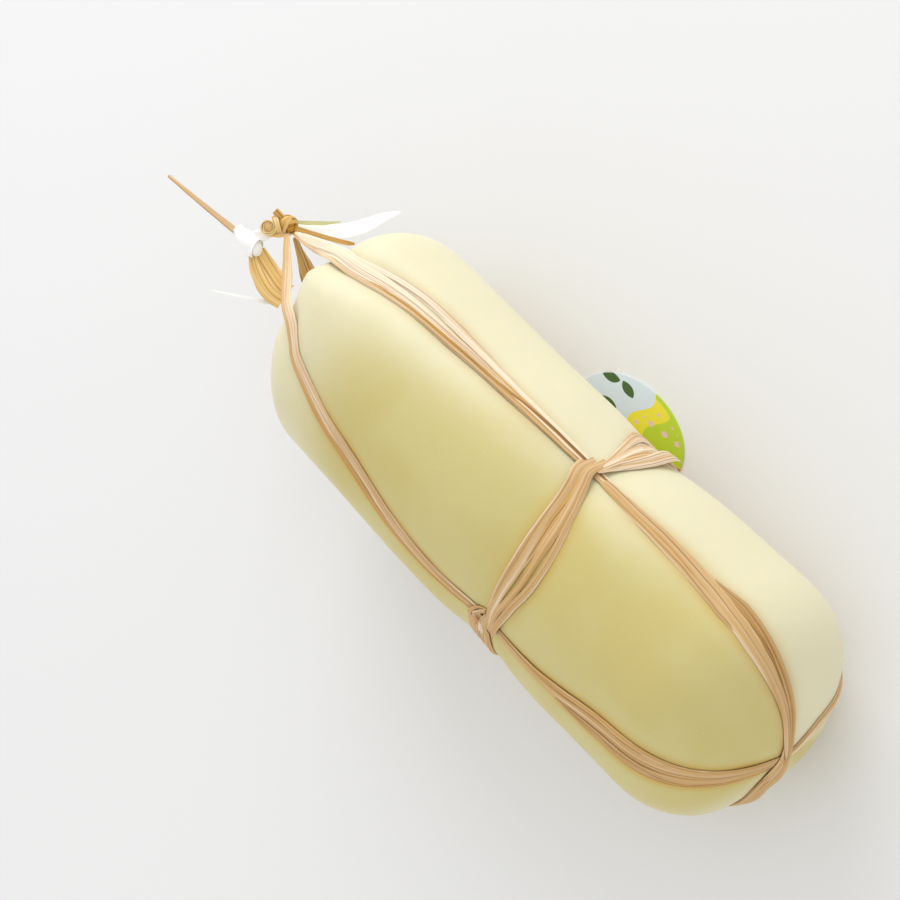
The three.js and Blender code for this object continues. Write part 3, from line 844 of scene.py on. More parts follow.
def tag_print(s):
    """Plain shapes printed on card: a pale field with leaves, a waved band and a spotted end."""
    paint = Paint("tag_print")
    place = paint.place("UV")
    grain = paint.cloud(place, 60, 3)
    across = paint.node("ShaderNodeSeparateXYZ", sockets={"Vector": place})
    up = paint.node("ShaderNodeSeparateXYZ", sockets={"Vector": place}, output=1)
    wavy = across + 0.1 * (up * 6.0).sine()
    radius = (across * across + up * up) ** 0.5
    in_band = wavy.between(-0.02, 0.0)
    at_end = wavy.between(0.3, 0.32)
    scattered = {"Vector": place, "Scale": 4.5, "Randomness": 0.4}
    dots = paint.node("ShaderNodeTexVoronoi", {"feature": "F1"}, scattered)
    spotted = (1 - dots.between(0.26, 0.3)) * wavy.between(0.1, 0.12)
    colour = s.tag_sky
    for middle, height, lean in TAG_LEAVES:
        along = (across - middle) + (up - height) * lean
        aside = (up - height) - (across - middle) * lean
        leaf = (along * 5.5) ** 2 + abs(aside * 9.0) ** 1.2
        colour = paint.mix(1 - leaf.between(0.9, 1.0), colour, s.tag_green)
    colour = paint.mix(in_band, colour, s.tag_yellow)
    colour = paint.mix(at_end, colour, s.tag_lime)
    colour = paint.mix(spotted, colour, s.tag_rose)
    colour = paint.mix(radius.between(0.92, 0.93) * in_band, colour, s.tag_lime)
    return paint.surface(
        Base_Color=colour,
        Roughness=0.32 + grain * 0.12,
        Normal=paint.bump(grain, 0.05 * MM, 0.3),
        IOR=1.45,
    )


def plain_floor(s):
    """A pale seamless floor with a very faint unevenness."""
    paint = Paint("pale_floor")
    haze = paint.cloud(paint.place(), 2.5, 1)
    shaded = tuple(0.97 * part for part in s.floor_colour)
    return paint.surface(Base_Color=paint.mix(haze, s.floor_colour, shaded), Roughness=0.65)


def settings_of(context):
    return context.scene.caciocavallo


class CACIO_OT_body(bpy.types.Operator):
    """Shape the cheese from a cube: rounded, drawn out along its spine and pressed by the raffia"""

    bl_idname = "caciocavallo.shape_body"
    bl_label = "Cheese body"

    TOP_SHARE = 0.2
    BOTTOM_SHARE = 0.24
    # Where the rind's painted light and shade lie: pale where the key light falls, on the far side and
    # towards the top end, and deep on the shaded sides.
    PALE_SIDE = math.radians(100)  # the middle of the pale side, from up towards +Y
    PALE_SPAN = (math.radians(30), math.radians(86))
    PALE_TOP = (-106 * MM, -40 * MM)
    LATER = math.radians(15)  # how much further the pale side reaches at the top end
    LATER_SPAN = (-60 * MM, 10 * MM)
    NEAR_FROM = (math.radians(45), math.radians(100))  # the near side, from up towards -Y
    NEAR_TO = (math.radians(150), math.radians(180))
    NEAR_PALE = 0.55
    NEAR_TOP = 0.65
    SWELLS = ((1, 38 * MM), (0.3, 14 * MM))  # share and length of each kind of swell
    SHADE_AND_STAIN_REACH = 2.6 * MM

    def swelling(self, place):
        return sum(share * noise.noise(Vector(place) / length) for share, length in self.SWELLS)

    def painted_shade_of(self, direction, x):
        """How deep the painted shade on the rind is: painted pale as lit on the far side and at the top
        end, deep where shade falls, and half as deep on the near side.
        """
        turn = np.arctan2(direction[:, 1], direction[:, 2])
        near = ease(-turn, *self.NEAR_FROM) * (1 - ease(-turn, *self.NEAR_TO))
        from_pale = np.abs((turn - self.PALE_SIDE + math.pi) % (2 * math.pi) - math.pi)
        later = self.LATER * (1 - ease(x, *self.LATER_SPAN))
        painted_shade = ease(from_pale - later, *self.PALE_SPAN) * (1 - self.NEAR_PALE * near)
        return painted_shade * (1 - (1 - self.NEAR_TOP * near) * (1 - ease(x, *self.PALE_TOP)))

    def execute(self, context):
        settings = settings_of(context)
        s = settings.cheese
        harness = Harness(settings)
        deselect()
        bpy.ops.mesh.primitive_cube_add(size=2)
        cheese = context.object
        bpy.ops.object.mode_set(mode="EDIT")
        bpy.ops.mesh.select_all(action="SELECT")
        bpy.ops.mesh.subdivide(number_cuts=s.cuts)
        bpy.ops.object.mode_set(mode="OBJECT")
        ball = unit(np.tan(vertex_places(cheese) * math.pi / 4))
        share = np.arccos(np.clip(-ball[:, 0], -1, 1)) / math.pi
        around = np.arctan2(ball[:, 1], ball[:, 2])
        top_turn = np.minimum(share / self.TOP_SHARE, 1) * math.pi / 2
        bottom_turn = np.minimum((1 - share) / self.BOTTOM_SHARE, 1) * math.pi / 2
        side = np.clip((share - self.TOP_SHARE) / (1 - self.TOP_SHARE - self.BOTTOM_SHARE), 0, 1)
        axial = np.cos(bottom_turn) - np.cos(top_turn)
        radial = np.sqrt(np.maximum(1 - axial ** 2, 0))
        direction = np.stack([axial, radial * np.sin(around), radial * np.cos(around)], -1)
        on_axis = np.zeros_like(direction)
        on_axis[:, 0] = blend(s.top_rim, s.bottom_rim, side)
        spine, _, _ = harness.body.from_spine(on_axis)
        places = spine + direction * harness.body.reach(direction, spine)
        swells = np.array([self.swelling(place) for place in places])
        places = places + direction * (s.unevenness * swells)[:, None]
        places[:, 2] = np.maximum(places[:, 2], 0)
        move_vertices(cheese, places)
        to_raffia = Body.nearest(harness.raffia_tree(), places)
        # Nearness to the raffia, for the golden colour that is partly staining and partly painted contact
        # shade.
        set_attribute(cheese, "raffia_near", hump(to_raffia, self.SHADE_AND_STAIN_REACH))
        # Painted light and shade on the rind, for its material.
        set_attribute(cheese, "painted_shade", self.painted_shade_of(places - spine, places[:, 0]))
        cheese.name = "cheese_body"
        finish(cheese, cheese_rind(s), "cheese_rind", "cheese")
        return {"FINISHED"}


# The upper strand by its distance from the ring: narrow plies above it, a broad flat leaf below.
UPPER_PLIES = (
    Ply(0.1, 0.5, (
        (-172, 0, 1.6), (-120, 0.4, 3), (-76, 0.8, 3), (-36, -0.3, 4), (-4, -0.2, 3.2), (8, -0.3, 2))),
    Ply(0.35, -0.1, (
        (-171, 0.2, 1.6), (-142, 0.4, 4.4), (-118, -0.2, 5.4), (-96, -0.7, 5), (-76, -0.4, 3),
        (-56, -0.9, 2.2), (-36, -0.2, 1.7), (-16, -0.2, 1.4), (8, -0.1, 1.3))),
    Ply(0.45, 0.3, (
        (-171, 0.6, 0.9), (-142, 2.2, 1.4), (-107, 3, 1.5), (-76, 2.4, 1.5), (-56, 2.1, 1.5),
        (-26, 1.4, 1.4), (-4, 1.1, 1.3), (8, 0.9, 1.1))),
    Ply(0.3, -0.16, (
        (-171, -0.4, 0.8), (-130, -2.2, 1), (-107, -3.6, 1.4), (-96, -4.3, 2.2), (-86, -4.8, 3.2),
        (-66, -4.5, 3.4), (-46, -3.2, 2.4), (-26, -2.6, 1.5), (-4, -2, 1.2), (8, -1.3, 1))),
    Ply(0.6, 0.65, (
        (-100, 1.9, 0.6), (-76, 1.2, 0.9), (-46, 0.6, 1), (-30, -0.6, 1.2), (-16, -1.2, 1.2),
        (8, -0.8, 1))),
    # Brown ply under the others, whose dark shows where they part: painted shade beneath them.
    Ply(0.15, 0.8, (
        (6, -0.2, 2), (34, 0.1, 4), (60, 0, 5.6), (80, -0.6, 6), (100, -0.6, 3.4), (121, 0, 2.4))),
    Ply(0.35, 0.25, (
        (2, 0.8, 1.3), (24, 1.1, 2.4), (44, 1.5, 2.8), (54, 2.8, 2.1), (62, 3.8, 1.5), (72, 3.6, 0.9))),
    Ply(0.6, 0.2, (
        (2, -0.6, 1.6), (14, -0.9, 2.6), (34, -1.4, 3.4), (44, -0.9, 4.2), (54, -0.1, 4.6),
        (64, 1.3, 5.8), (74, 2, 5.4), (88, 1.5, 3.9), (103, 0.7, 2.4), (121, 0.2, 1.8))),
    Ply(0.95, 0.95, ((29, -0.6, 0.15), (33, -0.4, 0.5), (38, -0.1, 0.15))),
    Ply(0.95, 0.95, ((77, 0.7, 0.2), (81, 0.4, 0.7), (85, 0.3, 0.2))),
    Ply(0.6, 0.4, (
        (50, -2.4, 0.8), (64, -3.3, 1.1), (74, -2.6, 1), (88, -1.5, 1), (103, -1, 0.9), (121, -0.4, 0.9))),
    Ply(0.75, 0.3, (
        (52, -2.8, 0.6), (64, -4.1, 0.9), (74, -3.5, 0.9), (88, -2.5, 0.9), (103, -1.9, 0.8),
        (121, -0.8, 0.8))),
)
# Its way back under the near side, by its distance from the crossing.
NEAR_BACK_PLIES = (
    Ply(0.2, 0.2, (
        (-8, 0.2, 2), (-3, 1.2, 3.6), (6, 1.6, 5.4), (20, 0, 5.2), (44, -0.4, 3.4), (70, 0, 1.2))),
    Ply(0.4, 0.3, (
        (-8, 0.6, 1), (-3, 2, 1.5), (8, 2.9, 2), (24, 1.4, 2), (44, 0.6, 1.5), (66, 0.8, 0.5))),
    Ply(0.7, 0.4, (
        (-7, 0.2, 1), (-2, 1, 1.5), (8, 1.4, 2), (24, 0.2, 1.8), (44, -0.2, 1.5), (70, 0, 0.5))),
    Ply(0.9, 0.25, (
        (-6, 0, 1), (-2, 0.4, 1.4), (8, 0.1, 1.8), (24, -1, 1.8), (44, -1, 1.4), (66, -0.4, 0.5))),
    Ply(1.1, 0.45, ((-5, -0.2, 0.8), (8, -1.1, 1.3), (24, -2, 1.3), (44, -1.6, 0.9), (60, -1, 0.4))),
    Ply(0.1, 0.35, ((30, 0, 3), (60, 0, 3), (180, 0, 2.6), (240, 0, 4))),
    Ply(0.4, 0.2, ((30, 0.8, 1.6), (60, 1.2, 1.8), (180, 1, 1.8), (240, 1.6, 2.4))),
    Ply(0.6, 0.3, ((30, 0.1, 1.4), (60, 0.2, 1.6), (180, 0, 1.8), (240, 0, 2.4))),
    Ply(0.45, 0.15, ((30, -0.8, 1.4), (60, -1, 1.6), (180, -1, 1.8), (240, -1.6, 2.6))),
    Ply(0, 0.62, ((234, 0.2, 4), (262, 0.4, 7.4), (276, 0.4, 6), (285, 0.2, 2.8), (290, 0, 1.6))),
    Ply(0.3, 0.5, ((234, 1.5, 1.6), (262, 2.6, 2.4), (276, 2, 2), (285, 0.8, 1.1), (290, 0.3, 0.8))),
    Ply(0.3, 0.58, ((234, -1, 1.8), (262, -1.8, 2.6), (276, -1.2, 2), (285, -0.4, 1), (290, -0.2, 0.8))),
)
# The lower strand by its distance from the ring.
LOWER_PLIES = (
    Ply(0.1, 0.4, (
        (-182, 0, 1.4), (-122, 0.2, 2.6), (-68, 0.4, 3.6), (-36, -1.4, 4), (-12, -0.8, 2.8), (6, 0, 2))),
    Ply(0.35, 0.2, (
        (-182, -0.1, 1.5), (-150, -0.3, 2.2), (-122, -0.4, 2.8), (-99, -0.4, 3.2), (-78, -0.9, 3.6),
        (-57, -1.2, 3.4), (-36, -0.8, 2.6), (-16, 0, 1.7), (6, 0.7, 1.3))),
    Ply(0.45, 0.42, (
        (-182, 0.5, 0.7), (-140, 1.2, 0.9), (-110, 1.6, 1), (-89, 2.5, 1.3), (-68, 2.4, 1.9),
        (-47, 2, 1.6), (-26, 1.4, 1.2), (6, 1.6, 1.1))),
    Ply(0.3, 0.2, (
        (-178, -0.8, 0.4), (-150, -1.5, 0.5), (-120, -1.9, 0.6), (-78, -2.8, 0.6), (-47, -3.5, 1),
        (-36, -4, 1.5), (-26, -3.4, 1.6), (-12, -2.4, 1.2), (6, -0.5, 1))),
    # Brown ply under the others, whose dark shows where they part: painted shade beneath them.
    Ply(0.1, 0.8, (
        (4, 0, 2), (34, -0.9, 4.2), (60, 0.8, 7.4), (88, 1, 6.6), (104, 0.6, 3.6), (119, 0, 2.4))),
    Ply(0.45, 0.35, (
        (4, -0.4, 1), (24, -2, 1.7), (34, -2.8, 2.2), (44, -3, 1.9), (54, -3, 1.6), (65, -2.7, 1.5),
        (75, -2.4, 1.2), (88, -1.8, 1.2), (119, -0.9, 1.2))),
    Ply(0.65, 0.2, (
        (4, 0.6, 1.2), (24, 0, 2.5), (34, -0.1, 3), (44, -0.4, 3.1), (55, 0, 2.9), (65, 0.2, 3),
        (75, -0.3, 4.2), (88, -0.5, 3.5), (104, -0.6, 2.4), (119, 0, 1.8))),
    Ply(0.5, 0.3, (
        (36, 1.9, 0.6), (50, 3, 1.5), (60, 3.1, 1.6), (70, 3, 1.9), (81, 2.8, 2.5), (94, 2, 2.3),
        (119, 0.9, 1.6))),
    Ply(0.35, 0.5, (
        (36, 2.3, 0.5), (50, 4.6, 1), (60, 5, 1.1), (70, 5, 1.3), (81, 4.8, 1.3), (94, 3.6, 1.2),
        (119, 1.7, 1))),
)
# Its way back along the far side, by its distance from the crossing.
FAR_BACK_PLIES = (
    Ply(0.2, 0.15, (
        (-6, 0, 1.2), (0, -0.4, 1.6), (12, 0, 2.2), (26, 1.2, 3), (44, 1.5, 2.6), (76, 0, 1))),
    Ply(0.7, 0.05, (
        (-5, 0.2, 0.7), (0, -0.1, 0.8), (12, 0.4, 1.1), (26, 1.9, 1.4), (44, 2.1, 1.3), (76, 0.6, 0.5))),
    Ply(0.4, 0.3, (
        (-5, -0.3, 0.7), (0, -0.7, 0.8), (12, -0.5, 1.1), (26, 0.5, 1.4), (44, 0.9, 1.3),
        (76, -0.5, 0.5))),
    Ply(0.1, 0.2, ((46, 0, 2.6), (80, 0, 2.6), (180, 0, 2.4), (232, 0, 2.4), (289, 0, 1.4))),
    Ply(0.35, 0.15, ((46, 0.6, 1.6), (80, 0.9, 1.9), (180, 1, 2), (232, 1.2, 2.2), (289, 0.3, 1))),
    Ply(0.5, 0.2, ((46, -0.6, 1.6), (80, -0.9, 1.9), (180, -1, 2), (232, -1.2, 2.2), (289, -0.3, 1))),
)


class CACIO_OT_strands(bpy.types.Operator):
    """Lay the plies of the long strands on the cheese, from the top knot round the bottom and back"""

    bl_idname = "caciocavallo.lay_strands"
    bl_label = "Long strands"

    CROSSING_RISE = 1.1 * MM
    BACK_RISE = 0.5 * MM
    CROSSING_SPAN = 8 * MM
    LEAN = 0.42  # how far the back bundles turn up to the view beside the crossing
    LEAN_FROM = (-4 * MM, 6 * MM)
    LEAN_TO = (16 * MM, 60 * MM)

    def execute(self, context):
        settings = settings_of(context)
        harness = Harness(settings)
        material = raffia_leaf("raffia_strand", settings.raffia, -0.12)
        end = harness.upper.run[-1]

        def over_end(run):
            return self.CROSSING_RISE * hump(run - end, self.CROSSING_SPAN)

        def over_start(run):
            return self.BACK_RISE * hump(run, self.CROSSING_SPAN)

        def turned_up(run):
            return self.LEAN * ease(run, *self.LEAN_FROM) * (1 - ease(run, *self.LEAN_TO))

        def turned_down(run):
            return -turned_up(run)

        lay = harness.body.lay
        upper = lay_plies(UPPER_PLIES, harness.upper, lay, 11, settings.raffia, rise=over_end)
        upper += lay_plies(
            NEAR_BACK_PLIES, harness.near_back, lay, 12, settings.raffia, rise=over_start, lean=turned_down)
        lower = lay_plies(LOWER_PLIES, harness.lower, lay, 13, settings.raffia)
        lower += lay_plies(FAR_BACK_PLIES, harness.far_back, lay, 14, settings.raffia, lean=turned_up)
        finish(join(upper, "raffia_strand_upper"), material, "raffia", "strand_upper")
        finish(join(lower, "raffia_strand_lower"), material, "raffia", "strand_lower")
        return {"FINISHED"}


# The ring by its direction round the body, in degrees from up towards +Y. It starts at the hitch.
RING_PLIES = (
    Ply(0.15, 0.55, (
        (-14, 0.4, 0.4), (4, -0.4, 1.6), (20, -0.8, 2.8), (30, 0, 2.8), (40, -0.6, 2), (52, -0.8, 1.8))),
    Ply(0.45, 0.25, (
        (-45, 4.4, 2), (-39, 3, 2.2), (-34, 1.5, 2.6), (-30, 1.2, 3), (-20, -0.4, 3.6), (-10, -1.1, 4),
        (0, -2, 3.5), (10, -2.9, 3), (20, -3.1, 2.4), (30, -2.7, 2), (40, -2.3, 2), (54, -2.5, 2.1))),
    Ply(0.8, 0.12, (
        (-34, 0.6, 0.7), (-20, -2, 0.9), (-10, -3.4, 1), (0, -4.2, 1.1), (10, -4.5, 1.1), (20, -4.2, 1),
        (30, -3.7, 0.9), (40, -3.6, 1), (49, -4.2, 1.2))),
    Ply(0.6, 0.3, (
        (-45, 5.8, 1.3), (-36, 4, 1.6), (-30, 3.3, 1.8), (-20, 3.4, 2), (-10, 3.3, 1.9), (0, 2.2, 2.6),
        (10, 1.6, 3), (20, 1.6, 2.6), (30, 1, 2.4), (40, 0.3, 2), (58, -0.8, 1.9))),
    Ply(0.45, 0.2, (
        (-45, 7.4, 1.6), (-36, 6, 2.2), (-30, 5.9, 2.6), (-20, 5.8, 2.5), (-10, 6.4, 2.6), (0, 6, 2.4),
        (10, 5, 2.6), (20, 3.9, 2), (30, 3, 1.8), (40, 2, 1.6), (58, 0.4, 1.4))),
)
# The plies that fan out past the upper strand, and the ring's way on round the back.
FAN_PLIES = (
    Ply(0.3, 0.05, (
        (50, 0.8, 0.8), (55, 0.6, 0.8), (60, -0.2, 1.3), (70, -2.2, 2.3), (80, -5.2, 3.4), (90, -8, 4.8),
        (100, -8.4, 4.6), (115, -5, 3.2), (135, -2.4, 2), (180, -2.4, 2), (250, -3, 2), (280, -2.6, 2),
        (300, -0.8, 1.8), (317, 1.4, 1.6))),
    Ply(0.4, 0.0, (
        (50, 1.2, 0.8), (55, 1.2, 1), (60, 0.8, 1.5), (70, 0.2, 2.8), (80, -1, 4.2), (90, -2, 5.2),
        (100, -2, 4.6), (115, -1, 3.2), (135, -0.4, 2.2), (180, -0.4, 2.2), (250, -1.4, 2.2),
        (280, -1, 2), (300, 1, 2), (317, 3.2, 1.6))),
    Ply(0.2, 0.4, ((50, 1.6, 1.6), (60, 2.2, 3), (72, 2, 6), (90, 0, 9), (110, 0, 7), (140, 0.4, 3))),
    Ply(0.6, 0.1, (
        (50, 1.6, 0.8), (58, 2, 1.4), (68, 2.8, 2.4), (80, 2.6, 3), (92, 2.2, 3), (110, 2.2, 2.6),
        (135, 1.4, 2.2), (180, 1.4, 2), (250, 0.4, 2), (280, 0.6, 2), (300, 2.4, 1.8), (317, 4.6, 1.6))),
)
# The plies of the fan that stand out over the far flank.
PROUD_PLIES = (
    Ply(0.7, 0.05, (
        (50, 2, 0.9), (55, 2.8, 1.4), (60, 3.8, 2), (68, 5.4, 3), (76, 5.9, 3.4), (86, 5.6, 3.6),
        (94, 5.2, 3.6), (100, 5, 3.6))),
    Ply(0.9, -0.1, (
        (50, 2, 0.7), (58, 2.6, 1), (68, 3.8, 1.6), (78, 3.8, 2.2), (90, 3.2, 2.6), (99, 3, 2.8))),
)


class CACIO_OT_ring(bpy.types.Operator):
    """Wrap the plies of the waist ring, spread them over the front panel and tie the hitch"""

    bl_idname = "caciocavallo.wrap_ring"
    bl_label = "Waist ring"

    RISE = 1.5 * MM
    RISE_SPAN = math.radians(10)
    PROUD = 2.6 * MM
    PROUD_AT = math.radians(95)
    PROUD_SPAN = math.radians(12)

    def execute(self, context):
        settings = settings_of(context)
        harness = Harness(settings)
        r = settings.raffia
        radius = settings.cheese.radius
        full = 2 * math.pi
        crossings = (harness.pulled, r.lower_side, r.far_side, r.near_side + full, r.lower_side + full)

        def over_strands(run):
            humps = [hump(run / radius - side, self.RISE_SPAN) for side in crossings]
            return self.RISE * np.max(humps, axis=0)

        def proud(run):
            return over_strands(run) + self.PROUD * hump(run / radius - self.PROUD_AT, self.PROUD_SPAN)

        lay = harness.body.lay
        extra = {"unit_along": harness.degree, "rise": over_strands}
        plies = lay_plies(RING_PLIES, harness.ring, lay, 21, r, **extra)
        plies += lay_plies(FAN_PLIES, harness.ring, lay, 22, r, **extra)
        extra["rise"] = proud
        plies += lay_plies(PROUD_PLIES, harness.ring, lay, 23, r, **extra)
        material = raffia_leaf("raffia_ring", r, -0.15)
        finish(join(plies, "raffia_ring"), material, "raffia", "ring")
        finish(self.hitch(harness, r), material, "raffia", "ring_hitch")
        return {"FINISHED"}

    HITCH_HEIGHT = 1.5 * MM
    HITCH_SPAN = 3.4 * MM
    # Each loop: lift, width, tone and its places, along X and in degrees from the lower strand.
    HITCH_LOOPS = (
        (0.3, 1.3, 0.3, (
            (18.4, 6.4), (16.4, 4.8), (14.4, 2.6), (12.7, -1.4), (11.9, -6), (11.6, -12), (11.8, -20),
            (13, -30), (15, -44))),
        (0.5, 1.3, 0.15, (
            (18, 5.2), (16.4, 3), (14.8, 0), (13.8, -4.2), (13.4, -9), (13.4, -15), (13.8, -23),
            (15, -40))),
        (0.6, 1.4, 0.3, (
            (17.2, 1.6), (16.2, -1), (15.6, -4.5), (15.5, -9), (15.8, -15), (16, -24), (16, -42))),
        (0.7, 1.4, 0.2, (
            (19, 4), (18, 0), (17.4, -5), (17.6, -12), (18, -19), (17.8, -28), (16.4, -44))),
        (0.8, 1.8, 0.25, (
            (21.6, 9), (20.6, 4), (19.8, -1), (19.6, -5.5), (20, -11), (20.4, -18), (19.6, -28),
            (17, -46))),
    )
    HITCH_START, HITCH_END = 0.8, 0.4  # shares of a loop's width at its two ends
    HITCH_TAPER = 8  # length of the narrowing end, in millimetres
    COIL_AT = (16.5, -0.6)
    COIL_HALF = np.array([1.3 * MM, 0, 0])
    COIL_RADIUS = 1 * MM
    COIL_TONE = 0.6

    def over_strand(self, run):
        return self.HITCH_HEIGHT * hump(run, self.HITCH_SPAN)

    def hitch(self, harness, r):
        """Nested loops round the lower strand, and the small coil that fills them."""
        loops = []
        for number, (lift, width, tone, stations) in enumerate(self.HITCH_LOOPS):
            points = [harness.body.on_side(x, r.lower_side + math.radians(turn)) for x, turn in stations]
            middle = min(range(len(points)), key=lambda index: abs(stations[index][1]))
            line = Line(points, harness.facing, points[middle])
            first, last = line.run[[0, -1]] / MM
            ply = Ply(lift, tone, (
                (first, 0, width * self.HITCH_START), (0, 0, width), (last - self.HITCH_TAPER, 0, width),
                (last, 0, width * self.HITCH_END)))
            loops += lay_plies([ply], line, harness.body.lay, 31 + number, r, rise=self.over_strand)
        x, turn = self.COIL_AT
        coil = harness.body.on_side(x, r.lower_side + math.radians(turn))
        loops.append(lump(coil - self.COIL_HALF, coil + self.COIL_HALF, self.COIL_RADIUS, self.COIL_TONE))
        return join(loops, "raffia_hitch")


class CACIO_OT_knot(bpy.types.Operator):
    """Tie the top knot from turns of raffia round a core, with a cut nub, a rolled end and two straps"""

    bl_idname = "caciocavallo.tie_knot"
    bl_label = "Top knot"

    # Each turn: its tilt, its turn, its width and its tone.
    TURNS = (
        (70, 10, 1.7, 0.5), (112, -15, 1.6, 0.75), (88, 40, 1.4, 0.35), (30, 5, 1.5, 0.6),
        (140, 60, 1.4, 0.85), (55, 100, 1.3, 0.4), (10, 130, 1.4, 0.7), (64, 24, 1, 0.15),
        (96, -24, 1.1, 0.45), (78, 62, 0.9, 0.95), (124, 18, 1, 0.2), (42, -30, 1, 0.55),
    )
    # Places right, up and near of the knot's middle, in millimetres.
    CORE = ((-2.7, 0, 0), (2.7, 0, 0))
    NUB = ((-1.8, 1.9, 0.6), (-4.5, 4.7, 1))
    ROLL = (-6.7, -1.1, 1.4)
    ROLL_RADII = (0.4, 2.5)
    ROLL_TURNS = 3
    ROLL_THICKNESS = 0.5 * MM
    ROLL_CORE = TOWARDS_VIEW * 1.4 * MM
    ROLL_CORE_RADIUS = 1.9 * MM
    CORE_SHARE = 0.9  # the core's radius as a share of the knot's
    TURN_SHARE = 0.84  # the innermost turn's radius as a share of the knot's
    TURN_STEP = 0.016  # how much further out each next turn lies
    TURN_SQUASH = 0.92
    NUB_RADIUS = 1.1 * MM
    NUB_LEAVES_AT = 0.9 * MM
    PLEAT = 1.5
    STRAPS = (
        (0.0, 2.3, ((-4.8, 2.9, 0.2), (-4.2, 1.4, 2.4), (-3.5, -1.6, 2.8), (-2.7, -3.7, 0.8))),
        (0.2, 1.3, ((-7, -3.4, 1), (-3.4, -3.9, 2.2), (0.8, -3.5, 1.8))),
    )

    def execute(self, context):
        settings = settings_of(context)
        r = settings.raffia
        harness = Harness(settings)
        start, end = (harness.from_knot(*place) for place in self.CORE)
        plies = [lump(start, end, r.knot_radius * self.CORE_SHARE, 0.75)]
        for number, (tilt, turn, width, tone) in enumerate(self.TURNS):
            radius = r.knot_radius * (self.TURN_SHARE + self.TURN_STEP * number)
            spin = Matrix.Rotation(math.radians(turn), 3, "X") @ Matrix.Rotation(math.radians(tilt), 3, "Y")
            angles = np.linspace(0, 2 * math.pi, 17)
            circle = np.stack([np.cos(angles), np.sin(angles) * self.TURN_SQUASH, 0 * angles], -1) * radius
            line = Line(circle @ np.array(spin).T + harness.knot, lambda places: places - harness.knot)
            length = line.run[-1] / MM
            ply = Ply(0.1, tone, ((0, 0, width), (length / 2, 0.2, width * 1.1), (length, 0, width)))
            plies += lay_plies([ply], line, lay_free, 41 + number, r, pleat=self.PLEAT)
        plies += self.nub(harness, r) + self.roll(harness, r)
        for number, (tone, width, places) in enumerate(self.STRAPS):
            line = Line([harness.from_knot(*place) for place in places], facing_view)
            length = line.run[-1] / MM
            ply = Ply(0, tone, ((0, 0, width * 0.7), (length / 2, 0, width), (length, 0, width * 0.7)))
            plies += lay_plies([ply], line, lay_free, 65 + number, r, pleat=self.PLEAT)
        material = raffia_leaf("raffia_knot", r, -0.1, dry=True)
        finish(join(plies, "raffia_knot"), material, "raffia", "top_knot")
        return {"FINISHED"}

    def nub(self, harness, r):
        """A bundle of cut ends that stands out of the knot."""
        foot, tip = (harness.from_knot(*place) for place in self.NUB)
        axis = unit(tip - foot)
        aside = unit(np.cross(axis, TOWARDS_VIEW))
        plies = [lump(foot, tip, self.NUB_RADIUS, 0.7)]
        for number, turn in enumerate(np.radians(range(0, 360, 60))):
            out = math.cos(turn) * aside + math.sin(turn) * np.cross(axis, aside)
            points = [blend(foot, tip, share) + out * self.NUB_LEAVES_AT for share in (0, 0.5, 1)]
            line = Line(points, lambda places: np.broadcast_to(out, places.shape))
            length = line.run[-1] / MM + 0.3 * (number % 3)
            ply = Ply(0, 0.35 + 0.15 * (number % 3), ((0, 0, 1.1), (length, 0, 1.3)))
            plies += lay_plies([ply], line, lay_free, 51 + number, r)
        return plies

    def roll(self, harness, r):
        """A leaf end rolled into a small scroll that faces the view."""
        middle = harness.from_knot(*self.ROLL)
        turns = np.linspace(0, self.ROLL_TURNS * 2 * math.pi, 60)
        radius = blend(*self.ROLL_RADII, turns / turns[-1])[:, None] * MM
        spiral = np.cos(turns)[:, None] * VIEW[0] + np.sin(turns)[:, None] * VIEW[1]
        points = middle + radius * spiral
        line = Line(points, lambda places: places - middle)
        length = line.run[-1] / MM
        ply = Ply(0, -0.05, ((0, 0.5, 2), (length / 3, 0.2, 3), (length, 0, 3.4)))
        scroll = lay_plies([ply], line, lay_free, 61, r, pleat=0, thickness=self.ROLL_THICKNESS)
        core = lump(middle - self.ROLL_CORE, middle + self.ROLL_CORE, self.ROLL_CORE_RADIUS, 0.2)
        return scroll + [core]


def facing_view(places):
    return np.broadcast_to(TOWARDS_VIEW, places.shape)


def free_line(points, towards=TOWARDS_VIEW):
    return Line(np.array(points) * MM, lambda places: np.broadcast_to(towards, places.shape))


